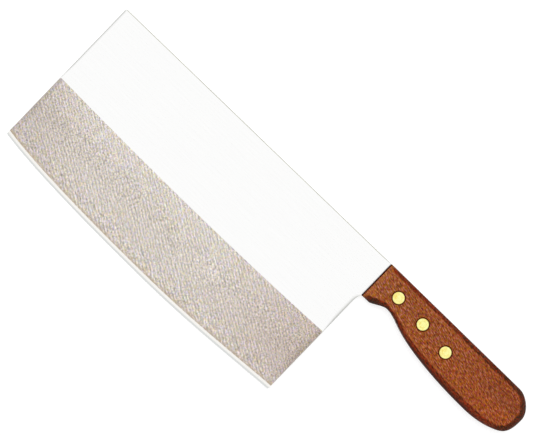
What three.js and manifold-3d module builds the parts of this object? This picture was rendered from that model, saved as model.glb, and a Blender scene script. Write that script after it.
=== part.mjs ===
// A Chinese cleaver: a tall ground blade whose part-length tang is riveted into a slotted wooden handle.
// Millimetres, +Z up. The knife lies on its side: tip towards -X, butt towards +X, spine towards +Y.
// Inside the group, x runs from the handle's front end to the butt, y = 0 is the spine line with the edge
// at -y, and z = 0 is the middle plane of the blade.
import * as THREE from "three";
import { mergeVertices, toCreasedNormals } from "three/addons/utils/BufferGeometryUtils.js";
import Module from "manifold-3d";

// Blade
const BLADE_LENGTH = 219.3; // tip to heel
const BLADE_THICKNESS = 2.6;
const SPINE_CHAMFER = 0.3;
const BELLY_DEPTH = 110; // spine to the deepest point of the edge
const BELLY_FROM_HEEL = 93.3;
const EDGE_TIP_RISE = 6.2; // how much higher the edge is at the tip than at the belly
const EDGE_HEEL_RISE = 4.5;
const GRIND_DEPTH = 59.2; // spine to the start of the ground face, at the belly
const GRIND_TIP_RISE = 2.2;
const GRIND_HEEL_RISE = 1.5;
const EDGE_STRIP = 2.7; // height of the sharpened strip
const STRIP_THICKNESS = 0.5; // blade thickness where the sharpened strip starts
const EDGE_LAND = 0.1; // thickness left at the very edge
const TIP_SPINE_RADIUS = 1.2;
const EDGE_CORNER_RADIUS = 1;

// Shape of the edge curve: how far its tangents reach, as shares of each half of the edge
const TIP_TANGENT = [0.2, 0.72]; // share of the run, share of the rise taken up
const HEEL_TANGENT = [0.27, 0.33];
const BELLY_TANGENT = 0.37;

// Neck and tang
const HEEL_SETBACK = 1.7; // heel line to the handle's front end
const NECK_HEIGHT = 6; // height of the small curve from the heel up to the handle
const TANG_PAST_RIVET = 18; // from the rear rivet to the tang's end
const TANG_END_RADIUS = 1.5;

// Handle outline, seen from the side
const HANDLE_LENGTH = 120.6;
const HANDLE_THICKNESS = 20;
const FRONT_HEIGHT = 25.9;
const TOP_FALL = 0.6; // how far the top edge falls on its way to the butt
const LIP_LENGTH = 6;
const NOTCH_FROM_FRONT = 16.8;
const NOTCH_RISE = 4.6; // finger notch, above the lip
const FLARE_FROM_FRONT = 33; // where the underside turns from hollow to full
const FLARE_DROP = 0.1; // below the lip there
const FLARE_HEADING = 163; // direction of the underside there, in degrees, going forward
const SWELL_FROM_BUTT = 29; // the deepest place of the handle
const SWELL_DROP = 6.7; // below the lip
const BUTT_ROUND = 14; // length over which the top edge rounds down to the butt
const BUTT_NOSE_DEPTH = 13.5; // rearmost point, below the spine line
const BUTT_CHIN_SETBACK = 8.4; // start of the slanted underside, ahead of the rearmost point
const BUTT_CHIN_RISE = 3.9; // above the swell
const BUTT_CHIN_HEADING = -157; // direction there, in degrees, going forward

// Rounded rim of the handle: its width as seen from the side, place by place
const RIM_TOP_FRONT = 2.4;
const RIM_TOP_REAR = 2.8;
const RIM_BUTT = 4.7;
const RIM_CHIN = 3.4;
const RIM_SWELL = 4.3;
const RIM_FLARE = 2.5;
const RIM_NOTCH = 1.9;
const RIM_NOTCH_END = 4;
const RIM_LIP = 0.5; // at the front end, where the notch's rim has run out
const RIM_TURN = THREE.MathUtils.degToRad(60); // the rim meets the flat face at this angle from the side
const SIDE_LAND = 3; // least width left straight between the two rims

// Rivets: a male half pressed into a female half, from both sides
const RIVETS = [
  { name: "front", belowMiddle: 1.1 }, // below the middle line of the handle
  { name: "middle", belowMiddle: -0.5 },
  { name: "rear", belowMiddle: 0.3 },
];
const RIVET_FROM_FRONT = 16.3;
const RIVET_PITCH = 21.3;
const RIVET_HEAD_DIAMETER = 7.4;
const RIVET_HEAD_HEIGHT = 2.4;
const RIVET_TUBE_DIAMETER = 5;
const RIVET_SHANK_DIAMETER = 3.2;

// Clearances
const KERF_CLEARANCE = 0.05; // each side of the tang
const KERF_END_CLEARANCE = 0.4;
const HEAD_CLEARANCE = 0.3; // round each rivet head, and under it
const TUBE_CLEARANCE = 0.2; // round the rivet tube
const SHANK_CLEARANCE = 0.05; // round the shank in its tube
const SHANK_END_CLEARANCE = 0.5; // beyond the ends of the shank and the tube

// How finely curves are divided, and the bend past which an edge is shaded sharp
const EDGE_STEPS = 14;
const RIM_STEPS = 4;
const ROUND_SEGMENTS = 32;
const CORNER_STEPS = 6;
const CREASE = THREE.MathUtils.degToRad(30);

// How far a cutting solid runs past what it cuts
const CUT_MARGIN = 2;

const wasm = await Module();
wasm.setup();

// Solids and geometry

function solidOf(geometry) {
  const plain = geometry.clone();
  plain.deleteAttribute("normal");
  plain.deleteAttribute("uv");
  const merged = mergeVertices(plain);
  const corners = merged.index.array;
  const triVerts = [];
  for (let i = 0; i < corners.length; i += 3) {
    const [a, b, c] = corners.slice(i, i + 3);
    if (a !== b && b !== c && c !== a) {
      triVerts.push(a, b, c);
    }
  }
  return new wasm.Manifold(
    new wasm.Mesh({
      numProp: 3,
      vertProperties: merged.attributes.position.array,
      triVerts: new Uint32Array(triVerts),
    }),
  );
}

function geometryOf(solid) {
  const { vertProperties, triVerts } = solid.getMesh();
  const geometry = new THREE.BufferGeometry();
  geometry.setAttribute("position", new THREE.BufferAttribute(vertProperties, 3));
  geometry.setIndex(new THREE.BufferAttribute(triVerts, 1));
  return toCreasedNormals(geometry, CREASE);
}

// A closed skin over a row of rings with equally many points, capped flat at both ends.
// Each ring runs clockwise seen from the last ring, and flatten gives a cap's points in its own plane.
function loft(rings, flatten) {
  const count = rings[0].length;
  const indices = [];
  for (let k = 0; k + 1 < rings.length; k++) {
    for (let i = 0; i < count; i++) {
      const next = (i + 1) % count;
      const [a, b] = [k * count + i, k * count + next];
      const [c, d] = [a + count, b + count];
      indices.push(a, c, d, a, d, b);
    }
  }
  const last = (rings.length - 1) * count;
  const outline = rings[0].map(flatten).reverse();
  for (const [a, b, c] of THREE.ShapeUtils.triangulateShape(outline, [])) {
    const [p, q, r] = [count - 1 - a, count - 1 - b, count - 1 - c];
    indices.push(p, r, q, last + p, last + q, last + r);
  }
  const geometry = new THREE.BufferGeometry().setFromPoints(rings.flat());
  geometry.setIndex(indices);
  return geometry;
}

function plate(shape, thickness) {
  const geometry = new THREE.ExtrudeGeometry(shape, {
    depth: thickness,
    bevelEnabled: false,
    curveSegments: CORNER_STEPS,
  });
  return geometry.translate(0, 0, -thickness / 2);
}

function roundCut(diameter, fromZ, toZ, place) {
  const geometry = new THREE.CylinderGeometry(diameter / 2, diameter / 2, toZ - fromZ, ROUND_SEGMENTS);
  return geometry.rotateX(Math.PI / 2).translate(place.x, place.y, (fromZ + toZ) / 2);
}

// Outline of the handle

// The places that the outline passes, from the front top corner round to the front bottom corner. Heading is
// its direction there in degrees, and before and after say how far its tangent reaches each way, as shares of
// the distance to the neighbouring place. Where both shares are 0 the outline runs straight.
function handlePlaces() {
  const butt = HANDLE_LENGTH;
  const lip = -FRONT_HEIGHT;
  const swell = lip - SWELL_DROP;
  return [
    { x: 0, y: 0, rim: RIM_TOP_FRONT, heading: 0, before: 0, after: 0, steps: 5 },
    { x: butt - BUTT_ROUND, y: -TOP_FALL, rim: RIM_TOP_REAR, heading: 0, before: 0, after: 0.3, steps: 10 },
    { x: butt, y: -BUTT_NOSE_DEPTH, rim: RIM_BUTT, heading: -90, before: 0.36, after: 0.65, steps: 12 },
    {
      x: butt - BUTT_CHIN_SETBACK,
      y: swell + BUTT_CHIN_RISE,
      rim: RIM_CHIN,
      heading: BUTT_CHIN_HEADING,
      before: 0.3,
      after: 0.34,
      steps: 8,
    },
    {
      x: butt - SWELL_FROM_BUTT,
      y: swell,
      rim: RIM_SWELL,
      heading: 180,
      before: 0.34,
      after: 0.36,
      steps: 14,
    },
    {
      x: FLARE_FROM_FRONT,
      y: lip - FLARE_DROP,
      rim: RIM_FLARE,
      heading: FLARE_HEADING,
      before: 0.25,
      after: 0.42,
      steps: 8,
    },
    {
      x: NOTCH_FROM_FRONT,
      y: lip + NOTCH_RISE,
      rim: RIM_NOTCH,
      heading: 180,
      before: 0.3,
      after: 0.3,
      steps: 8,
    },
    { x: LIP_LENGTH, y: lip, rim: RIM_NOTCH_END, heading: -157, before: 0.42, after: 0, steps: 3 },
    { x: 0, y: lip, rim: RIM_LIP, heading: 180, before: 0, after: 0, steps: 1 },
  ];
}

function curveBetween(from, to) {
  const [start, end] = [from, to].map(({ x, y }) => new THREE.Vector2(x, y));
  const reach = start.distanceTo(end);
  const tangent = ({ heading }, share) => {
    const turn = THREE.MathUtils.degToRad(heading);
    return new THREE.Vector2(Math.cos(turn), Math.sin(turn)).multiplyScalar(share * reach);
  };
  const leaving = start.clone().add(tangent(from, from.after));
  const arriving = end.clone().sub(tangent(to, to.before));
  return new THREE.CubicBezierCurve(start, leaving, arriving, end);
}

// The rim's width at a share of the way between two places. It keeps the wider one's width for longer.
function rimWidth(from, to, share) {
  const changed = from.rim > to.rim ? share ** 2 : 1 - (1 - share) ** 2;
  return THREE.MathUtils.lerp(from.rim, to.rim, changed);
}

// Points of the outline from the front top corner round to the front bottom corner, each with the rim's
// width there and the way that the rim narrows the outline. Along the front end it narrows up and down only.
function handleOutline() {
  const points = [];
  const places = handlePlaces();
  const last = places[places.length - 1];
  for (let k = 0; k + 1 < places.length; k++) {
    const [from, to] = [places[k], places[k + 1]];
    const path = curveBetween(from, to);
    for (let i = 0; i < from.steps; i++) {
      const share = i / from.steps;
      points.push({ place: path.getPoint(share), width: rimWidth(from, to, share) });
    }
  }
  points.push({ place: new THREE.Vector2(last.x, last.y), width: last.rim });
  const normals = points.slice(1).map((point, i) => {
    const along = point.place.clone().sub(points[i].place).normalize();
    return new THREE.Vector2(along.y, -along.x);
  });
  return points.map((point, i) => {
    if (i === 0 || i === points.length - 1) {
      const inward = new THREE.Vector2(0, i === 0 ? -1 : 1);
      return { ...point, inward };
    }
    const middle = normals[i - 1].clone().add(normals[i]).normalize();
    return { ...point, inward: middle.divideScalar(middle.dot(normals[i])) };
  });
}

const OUTLINE = handleOutline();

// The handle's top edge and underside, as y, at a distance from the handle's front end
function topAt(x) {
  return (-TOP_FALL * x) / (HANDLE_LENGTH - BUTT_ROUND);
}

function undersideAt(x) {
  const lower = OUTLINE.map((point) => point.place).filter((place) => place.y <= -BUTT_NOSE_DEPTH);
  const after = lower.findIndex((place) => place.x <= x);
  const [p, q] = [lower[after - 1], lower[after]];
  return THREE.MathUtils.mapLinear(x, p.x, q.x, p.y, q.y);
}

function rivetPlace(index) {
  const x = RIVET_FROM_FRONT + index * RIVET_PITCH;
  return new THREE.Vector2(x, (topAt(x) + undersideAt(x)) / 2 - RIVETS[index].belowMiddle);
}

const RIVET_PLACES = RIVETS.map((_, index) => rivetPlace(index));

// Blade with its tang

const HEEL_X = -HEEL_SETBACK;
const TIP_X = HEEL_X - BLADE_LENGTH;
const BELLY_X = HEEL_X - BELLY_FROM_HEEL;
const TANG_LENGTH = RIVET_PLACES[RIVETS.length - 1].x + TANG_PAST_RIVET;

function edgePoints() {
  const halfEdge = (endX, rise, tangent) => {
    const run = BELLY_X - endX;
    return new THREE.CubicBezierCurve(
      new THREE.Vector2(endX, rise - BELLY_DEPTH),
      new THREE.Vector2(endX + run * tangent[0], rise * (1 - tangent[1]) - BELLY_DEPTH),
      new THREE.Vector2(BELLY_X - run * BELLY_TANGENT, -BELLY_DEPTH),
      new THREE.Vector2(BELLY_X, -BELLY_DEPTH),
    ).getPoints(EDGE_STEPS);
  };
  const tipHalf = halfEdge(TIP_X, EDGE_TIP_RISE, TIP_TANGENT);
  const heelHalf = halfEdge(HEEL_X, EDGE_HEEL_RISE, HEEL_TANGENT);
  return [...tipHalf, ...heelHalf.reverse().slice(1)];
}

function grindAt(x) {
  const towardsTip = x < BELLY_X;
  const share = (x - BELLY_X) / ((towardsTip ? TIP_X : HEEL_X) - BELLY_X);
  const rise = towardsTip ? GRIND_TIP_RISE : GRIND_HEEL_RISE;
  return rise * share ** 2 - GRIND_DEPTH;
}

// Cross-section of the plate at one place along it, from the spine down one face and up the other
function bladeSection(x, edgeY, grindY) {
  const half = BLADE_THICKNESS / 2;
  const face = [
    [0, half - SPINE_CHAMFER],
    [-SPINE_CHAMFER, half],
    [grindY, half],
    [edgeY + EDGE_STRIP, STRIP_THICKNESS / 2],
    [edgeY, EDGE_LAND / 2],
  ];
  const mirrored = face.map(([y, z]) => [y, -z]);
  return [...mirrored, ...face.reverse()].map(([y, z]) => new THREE.Vector3(x, y, z));
}

function groundPlate() {
  const edge = edgePoints();
  const sections = edge.map(({ x, y }) => bladeSection(x, y, grindAt(x)));
  const [tip, heel] = [edge[0], edge[edge.length - 1]];
  const before = bladeSection(TIP_X - CUT_MARGIN, tip.y, grindAt(TIP_X));
  const behind = bladeSection(TANG_LENGTH + CUT_MARGIN, heel.y, grindAt(HEEL_X));
  return loft([before, ...sections, behind], ({ y, z }) => new THREE.Vector2(y, z));
}

// The edge's y at a place along the blade
function edgeAt(x) {
  const edge = edgePoints();
  const after = edge.findIndex((point) => point.x >= x);
  const [p, q] = [edge[after - 1], edge[after]];
  return THREE.MathUtils.mapLinear(x, p.x, q.x, p.y, q.y);
}

function bladeOutline() {
  const floor = -BELLY_DEPTH - CUT_MARGIN;
  const tipCorner = TIP_X + EDGE_CORNER_RADIUS;
  const heelCorner = HEEL_X - EDGE_CORNER_RADIUS;
  const tangUnder = OUTLINE.map((point) => point.place).filter(
    (place) => place.y < -BUTT_NOSE_DEPTH && place.x > 0 && place.x < TANG_LENGTH - TANG_END_RADIUS,
  );
  const tangRound = TANG_LENGTH - TANG_END_RADIUS;
  const tangTop = topAt(tangRound);
  const tangLow = undersideAt(tangRound);
  const quarter = Math.PI / 2;
  const shape = new THREE.Shape();
  shape.moveTo(tangRound, tangTop);
  shape.lineTo(0, 0);
  shape.lineTo(0, CUT_MARGIN);
  shape.lineTo(TIP_X + TIP_SPINE_RADIUS, CUT_MARGIN);
  shape.lineTo(TIP_X + TIP_SPINE_RADIUS, 0);
  shape.absarc(TIP_X + TIP_SPINE_RADIUS, -TIP_SPINE_RADIUS, TIP_SPINE_RADIUS, quarter, 2 * quarter);
  shape.absarc(
    tipCorner,
    edgeAt(tipCorner) + EDGE_CORNER_RADIUS,
    EDGE_CORNER_RADIUS,
    2 * quarter,
    3 * quarter,
  );
  shape.lineTo(tipCorner, floor);
  shape.lineTo(heelCorner, floor);
  shape.absarc(
    heelCorner,
    edgeAt(heelCorner) + EDGE_CORNER_RADIUS,
    EDGE_CORNER_RADIUS,
    3 * quarter,
    4 * quarter,
  );
  shape.lineTo(HEEL_X, -FRONT_HEIGHT - NECK_HEIGHT);
  shape.quadraticCurveTo(HEEL_X, -FRONT_HEIGHT - NECK_HEIGHT / 3, 0, -FRONT_HEIGHT);
  for (const place of tangUnder.reverse()) {
    shape.lineTo(place.x, place.y);
  }
  shape.lineTo(tangRound, tangLow);
  shape.quadraticCurveTo(TANG_LENGTH, tangLow, TANG_LENGTH, tangLow + TANG_END_RADIUS);
  shape.lineTo(TANG_LENGTH, tangTop - TANG_END_RADIUS);
  shape.quadraticCurveTo(TANG_LENGTH, tangTop, tangRound, tangTop);
  shape.closePath();
  return shape;
}

function bladeGeometry() {
  const outline = solidOf(plate(bladeOutline(), BLADE_THICKNESS + 2 * CUT_MARGIN));
  let blade = solidOf(groundPlate()).intersect(outline);
  const hole = RIVET_TUBE_DIAMETER + 2 * TUBE_CLEARANCE;
  for (const place of RIVET_PLACES) {
    const reach = BLADE_THICKNESS / 2 + CUT_MARGIN;
    blade = blade.subtract(solidOf(roundCut(hole, -reach, reach, place)));
  }
  return geometryOf(blade);
}

// Handle

function rimRing(turn, side) {
  const share = Math.sin(turn) / Math.sin(RIM_TURN);
  return OUTLINE.map(({ place, width, inward }) => {
    const radius = width / (1 - Math.cos(RIM_TURN));
    const most = (HANDLE_THICKNESS - SIDE_LAND) / 2;
    const drop = Math.min(radius * Math.sin(RIM_TURN), most);
    const inset = inward.clone().multiplyScalar(radius * (1 - Math.cos(turn)));
    const z = HANDLE_THICKNESS / 2 - drop * (1 - share);
    return new THREE.Vector3(place.x + inset.x, place.y + inset.y, side * z);
  });
}

function handleBlank() {
  const turns = Array.from({ length: RIM_STEPS + 1 }, (_, i) => (RIM_TURN * i) / RIM_STEPS);
  const lower = turns.map((turn) => rimRing(turn, -1)).reverse();
  const upper = turns.map((turn) => rimRing(turn, 1));
  return loft([...lower, ...upper], ({ x, y }) => new THREE.Vector2(x, y));
}

function kerf() {
  const length = TANG_LENGTH + KERF_END_CLEARANCE + CUT_MARGIN;
  const height = FRONT_HEIGHT + SWELL_DROP + 2 * CUT_MARGIN;
  const width = BLADE_THICKNESS + 2 * KERF_CLEARANCE;
  const geometry = new THREE.BoxGeometry(length, height, width);
  return geometry.translate(length / 2 - CUT_MARGIN, CUT_MARGIN - height / 2, 0);
}

function handleGeometry() {
  const face = HANDLE_THICKNESS / 2;
  const seat = face - RIVET_HEAD_HEIGHT - HEAD_CLEARANCE;
  const past = face + CUT_MARGIN;
  const bore = RIVET_TUBE_DIAMETER + 2 * TUBE_CLEARANCE;
  const counterbore = RIVET_HEAD_DIAMETER + 2 * HEAD_CLEARANCE;
  let handle = solidOf(handleBlank()).subtract(solidOf(kerf()));
  for (const place of RIVET_PLACES) {
    handle = handle
      .subtract(solidOf(roundCut(bore, -past, past, place)))
      .subtract(solidOf(roundCut(counterbore, seat, past, place)))
      .subtract(solidOf(roundCut(counterbore, -past, -seat, place)));
  }
  return geometryOf(handle);
}

// Rivets, turned about their own axis

function turned(profile) {
  const points = profile.map(([radius, z]) => new THREE.Vector2(radius, z));
  const geometry = new THREE.LatheGeometry(points, ROUND_SEGMENTS);
  return toCreasedNormals(geometry.rotateX(Math.PI / 2), CREASE);
}

const HEAD_FACE = HANDLE_THICKNESS / 2;
const HEAD_SEAT = HEAD_FACE - RIVET_HEAD_HEIGHT;

function maleRivetGeometry() {
  const head = RIVET_HEAD_DIAMETER / 2;
  const shank = RIVET_SHANK_DIAMETER / 2;
  return turned([
    [0, SHANK_END_CLEARANCE - HEAD_SEAT],
    [shank, SHANK_END_CLEARANCE - HEAD_SEAT],
    [shank, HEAD_SEAT],
    [head, HEAD_SEAT],
    [head, HEAD_FACE],
    [0, HEAD_FACE],
  ]);
}

function femaleRivetGeometry() {
  const head = RIVET_HEAD_DIAMETER / 2;
  const tube = RIVET_TUBE_DIAMETER / 2;
  const bore = RIVET_SHANK_DIAMETER / 2 + SHANK_CLEARANCE;
  return turned([
    [0, -HEAD_FACE],
    [head, -HEAD_FACE],
    [head, -HEAD_SEAT],
    [tube, -HEAD_SEAT],
    [tube, HEAD_SEAT - SHANK_END_CLEARANCE],
    [bore, HEAD_SEAT - SHANK_END_CLEARANCE],
    [bore, -HEAD_SEAT],
    [0, -HEAD_SEAT],
  ]);
}

// Assembly

const STEEL = new THREE.MeshStandardMaterial({ color: 0xd9d6d0, roughness: 0.3, metalness: 1 });
const WOOD = new THREE.MeshStandardMaterial({ color: 0x93502e, roughness: 0.55, metalness: 0 });
const BRASS = new THREE.MeshStandardMaterial({ color: 0xe9d57c, roughness: 0.25, metalness: 1 });

function piece(name, geometry, material) {
  const mesh = new THREE.Mesh(geometry, material);
  mesh.name = name;
  return mesh;
}

const cleaver = new THREE.Group();
cleaver.name = "chinese_cleaver";
cleaver.add(piece("blade", bladeGeometry(), STEEL));
cleaver.add(piece("handle", handleGeometry(), WOOD));
RIVETS.forEach(({ name }, index) => {
  const rivet = new THREE.Group();
  rivet.position.set(RIVET_PLACES[index].x, RIVET_PLACES[index].y, 0);
  rivet.add(piece(`${name}_rivet_male`, maleRivetGeometry(), BRASS));
  rivet.add(piece(`${name}_rivet_female`, femaleRivetGeometry(), BRASS));
  cleaver.add(rivet);
});

// The origin is under the middle of the whole knife, on the plane of the handle's lower face.
cleaver.position.set(-(TIP_X + HANDLE_LENGTH) / 2, BELLY_DEPTH / 2, HANDLE_THICKNESS / 2);

export default cleaver;
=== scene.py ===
"""Looks of a Chinese cleaver, laid out as an add-on: a ground steel blade, a slotted wooden handle, brass
rivets and a plain white stage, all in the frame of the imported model. Lengths are in metres.
"""

import math
from collections import namedtuple

import bmesh
import bpy
import numpy as np
from bpy.props import FloatProperty, FloatVectorProperty, PointerProperty
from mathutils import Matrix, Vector
from mathutils.geometry import delaunay_2d_cdt, interpolate_bezier


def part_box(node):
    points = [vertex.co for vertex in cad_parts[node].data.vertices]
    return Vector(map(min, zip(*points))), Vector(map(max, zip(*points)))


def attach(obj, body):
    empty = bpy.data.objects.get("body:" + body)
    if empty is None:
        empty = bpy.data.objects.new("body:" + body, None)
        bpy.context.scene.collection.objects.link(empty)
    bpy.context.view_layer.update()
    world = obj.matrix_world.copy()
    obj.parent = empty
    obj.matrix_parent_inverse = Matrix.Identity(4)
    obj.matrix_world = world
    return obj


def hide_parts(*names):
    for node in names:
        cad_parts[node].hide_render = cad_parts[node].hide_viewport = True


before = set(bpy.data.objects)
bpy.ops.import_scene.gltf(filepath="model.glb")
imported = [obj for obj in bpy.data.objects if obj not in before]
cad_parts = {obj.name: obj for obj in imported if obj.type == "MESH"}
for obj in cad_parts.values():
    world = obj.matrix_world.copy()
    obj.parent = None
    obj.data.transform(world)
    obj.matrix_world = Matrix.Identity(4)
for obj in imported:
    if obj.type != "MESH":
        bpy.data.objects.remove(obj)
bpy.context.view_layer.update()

bl_info = {
    "name": "Chinese Cleaver",
    "version": (1, 0, 0),
    "blender": (4, 5, 0),
    "location": "View3D > Sidebar > Cleaver",
    "description": "Makes a Chinese cleaver with a ground blade, a wooden handle and brass rivets",
    "category": "Add Mesh",
}

MM = 0.001

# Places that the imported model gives
BLADE_LOW, BLADE_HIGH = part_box("blade")
HANDLE_LOW, HANDLE_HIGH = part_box("handle")
TIP_X = BLADE_LOW.x
TANG_END_X = BLADE_HIGH.x
SPINE_Y = BLADE_HIGH.y
BELLY_Y = BLADE_LOW.y
BLADE_THICKNESS = BLADE_HIGH.z - BLADE_LOW.z
FRONT_X = HANDLE_LOW.x
BUTT_X = HANDLE_HIGH.x
SWELL_Y = HANDLE_LOW.y
HANDLE_THICKNESS = HANDLE_HIGH.z - HANDLE_LOW.z
MIDDLE_Z = (HANDLE_LOW.z + HANDLE_HIGH.z) / 2

RIVET_NAMES = ("front", "middle", "rear")
RIVET_NODES = [f"{name}_rivet_{half}" for name in RIVET_NAMES for half in ("male", "female")]

# How far the tangents of the edge curve reach: share of each half's run, share of its rise
TIP_TANGENT = (0.2, 0.72)
HEEL_TANGENT = (0.27, 0.33)
BELLY_TANGENT = 0.37

# Directions of the handle's outline, going round from the top to the underside
CHIN_HEADING = math.radians(-157)
FLARE_HEADING = math.radians(163)
NOTCH_END_HEADING = math.radians(-157)
DOWN = math.radians(-90)
FORWARD = math.radians(180)

# Turn of the rounded rim from the handle's side to the line where it meets the face, and the shares of
# that turn between which its outer part ends
RIM_TURN = math.radians(60)
RIM_OUTER = (0.5, 0.75)

# Fineness of the meshes
EDGE_STEPS = 48
OUTLINE_STEP = 0.8 * MM
PATH_STEPS = 64
SPREAD_STEPS = 4
PLATE_STEP = 6 * MM
CORNER_STEPS = 8
RIM_STEPS = 12
SOFT_STEPS = 5
ROUND_SEGMENTS = 64
ROUND_TURNS = [2 * math.pi * k / ROUND_SEGMENTS for k in range(ROUND_SEGMENTS)]

# How far the curve of a corner is pulled towards it, and the share of the neck's height where its own is
CORNER_PULL = 2 / 3
NECK_CORNER = 1 / 3

# Steps at each end of the cutting edge that the lines of the ground face and the strip leave out
EDGE_MARGIN = 3

# Edges that bend more than this stay sharp
BLADE_SHARP = math.radians(50)
HANDLE_SHARP = math.radians(25)
RIVET_SHARP = math.radians(30)

# Rounding of the plate's long edges: share of its width inset, share of its drop left there
EASE_RINGS = ((0.0, 1.0), (0.12, 0.525), (0.3, 0.286), (0.6, 0.083), (1.0, 0.0))

# Height over which the rounding grows to its full width at the tip and the heel
EASE_RUN = 12 * MM

# Points closer than this are merged
MERGE_DISTANCE = 0.0001 * MM

# How far a cutter reaches past what it cuts
CUT_MARGIN = 2 * MM

# Finishes of the blade, in the order of the sheet's region numbers, and how far off a number may be
FLAT, GROUND, STRIP, EDGES = range(4)
FINISHES = ("Polished Flat", "Ground Face", "Sharpened Strip", "Plate Edges")
REGION_TOLERANCE = 0.1

# Faces of the blade that are ground less than this belong to the flat
FLAT_LIMIT = 0.001

# Faces of the handle that look forward at least this squarely are its sawn front end
SAWN_END_FACING = -0.99

# Shift of a second pattern against the first, so that they differ
HUE_SHIFT = (0.3, 0.2, 0.1)

# Streak patterns: cells to a metre, along the streaks and across them
POLISH_LINES = (40.0, 1500.0)
COARSE_SCRATCHES = (420.0, 1200.0)
FINE_SCRATCHES = (1500.0, 1700.0)
STEEL_HUES = (900.0, 1300.0)
STONING_LINES = (300.0, 2200.0)
LINISHING_LINES = (90.0, 2600.0)
WOOD_FLECKS = (390.0, 1450.0)
WOOD_FIBRES = (760.0, 1800.0)
WOOD_BANDS = (14.0, 210.0)
WOOD_HUES = (560.0, 1350.0)
WOOD_TONES = (560.0, 1300.0)
WOOD_VESSELS = (320.0, 1500.0)
SAW_LINES = (200.0, 1800.0)
CUT_FIBRES = (300.0, 950.0)

# Directions of tool marks, from the knife's length
STONING_ANGLE = math.radians(80)
SAW_ANGLE = math.radians(90)

# Other patterns: cells to a metre
FLAT_MARKS = 22.0
EDGE_MARKS = 30.0
WOOD_MARKS = 70.0
BRASS_MARKS = 420.0
FLOOR_MARKS = 3.0
LINE_WANDER = 120.0
TURNING_RINGS = 3800.0

# Levels of a pattern between which something sets in
STREAK_LEVELS = (0.25, 0.75)
MARK_LEVELS = (0.35, 0.7)
SCRATCH_LEVELS = (0.2, 0.8)
TURNING_LEVELS = (0.35, 0.65)
HUE_LEVELS = (0.2, 0.7)
TONE_LEVELS = (0.25, 0.75)
DARK_FIBRES = (0.22, 0.5)
PALE_FIBRES = (0.52, 0.88)
PORE_LEVELS = (0.76, 0.9)
RIM_LEVELS = (0.3, 0.65)
STAIN_AND_SHADE_LEVELS = (-0.5, 0.3)

# The same for how far the blade is ground, and for how far its edges are eased
GROUND_END = (0.0, 0.03)
BURR_LINE = (0.95, 0.985)
HONE_SOFTNESS = 0.1
EASED = (0.0, 0.35)

# Brightness of places with wear or dull marks, and of the painted shade on the rims, as a share of the
# finish's own
FLAT_WORN = 0.975
STRIP_WORN = 0.93
EDGE_WORN = 0.8
RIM_PAINTED_SHADE = 0.3
FLOOR_MARKED = 0.98

# Share of another colour in the painted shadow line by the handle, in pores, and at its front edge and rims
SEAM_SHADOW_SHARE = 0.9
PORE_SHARE = 0.6
PALE_SHARE = 0.15

# How far a grinding line strays, in radians of its pitch
WANDER_TURN = 8.0

# Gloss of the wood's oiled and of its cut faces
OILED_GLOSS = 0.1
CUT_GLOSS = 0.0

# Roughness at the low and the high end of each finish's pattern
FLAT_ROUGHNESS = (0.08, 0.14)
GROUND_ROUGHNESS = (0.5, 0.4)
STRIP_ROUGHNESS = (0.2, 0.32)
EDGE_ROUGHNESS = (0.3, 0.42)
CUT_ROUGHNESS = (0.75, 0.95)
BRASS_ROUGHNESS = (0.2, 0.3)
WOOD_ROUGHNESS = 0.6

# Relief of each finish: its depth, and how strongly it shows
FLAT_RELIEF = (0.004 * MM, 0.3)
GROUND_RELIEF = (0.008 * MM, 0.5)
STRIP_RELIEF = (0.004 * MM, 0.4)
EDGE_RELIEF = (0.006 * MM, 0.4)
WOOD_RELIEF = (0.06 * MM, 0.4)
CUT_RELIEF = (0.1 * MM, 0.5)
BRASS_RELIEF = (0.005 * MM, 0.4)

# What the finishes multiply red, green and blue by
STEEL_BAND = (0.91, 0.9, 0.89)
STEEL_BLUSH = (1.02, 0.98, 0.97)
STEEL_CLEARED = (1.06, 1.1, 1.12)
STEEL_SHADED = (0.78, 0.77, 0.75)
SCRATCH_DARK = (0.48, 0.48, 0.47)
SCRATCH_BRIGHT = (1.52, 1.52, 1.53)
STEEL_WARM = (1.05, 1.02, 0.62)
STEEL_COOL = (0.95, 1.0, 1.4)
STEEL_ROSY = (1.08, 0.92, 1.06)
STEEL_GREENISH = (0.92, 1.08, 0.94)
WOOD_FRONT = (1.03, 1.16, 1.6)
WOOD_REAR = (1.0, 1.0, 1.0)
# Paler lower and darker upper part of the side faces
LOWER_FACE_TONE = (1.07, 1.0, 0.91)
UPPER_FACE_TONE = (0.83, 0.82, 0.95)
WOOD_DEEP = (1.05, 0.93, 0.25)
WOOD_DUSTY = (0.95, 1.08, 2.1)
RIM_SHADOWED = (0.2, 0.25, 0.3)
RIM_LIT = (1.3, 1.3, 1.3)
RIM_RUDDY = (1.15, 0.6, 0.3)
RIM_MOSSY = (0.85, 1.5, 2.0)

# How much the shade of the ground face's tip follows its height besides its length
TIP_SLANT = 0.6

# Where a rivet head dulls and brightens again, from its centre, in head diameters
DULL_RING = (0.2, 0.26)
DULL_RING_END = (0.27, 0.33)
DULL_RIM = (0.44, 0.5)

# Half the floor's width, in metres, and the corners of a square about the origin
FLOOR_HALF_WIDTH = 6.0
SQUARE = ((-1, -1), (1, -1), (1, 1), (-1, 1))

# Distance from one node to the next in the node editor
NODE_STEP = 180


# Settings


def size(name, description, millimetres):
    return FloatProperty(
        name=name, description=description, default=millimetres * MM, min=0, precision=5, unit="LENGTH"
    )


def coordinate(name, description, millimetres):
    return FloatProperty(
        name=name, description=description, default=millimetres * MM, precision=5, unit="LENGTH"
    )


def angle(name, description, degrees):
    return FloatProperty(
        name=name, description=description, default=math.radians(degrees), subtype="ANGLE"
    )


def share(name, description, default):
    return FloatProperty(name=name, description=description, default=default, min=0, max=1, subtype="FACTOR")


def tint(name, description, red, green, blue):
    return FloatVectorProperty(
        name=name, description=description, default=(red, green, blue), min=0, max=1, size=3, subtype="COLOR"
    )


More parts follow.
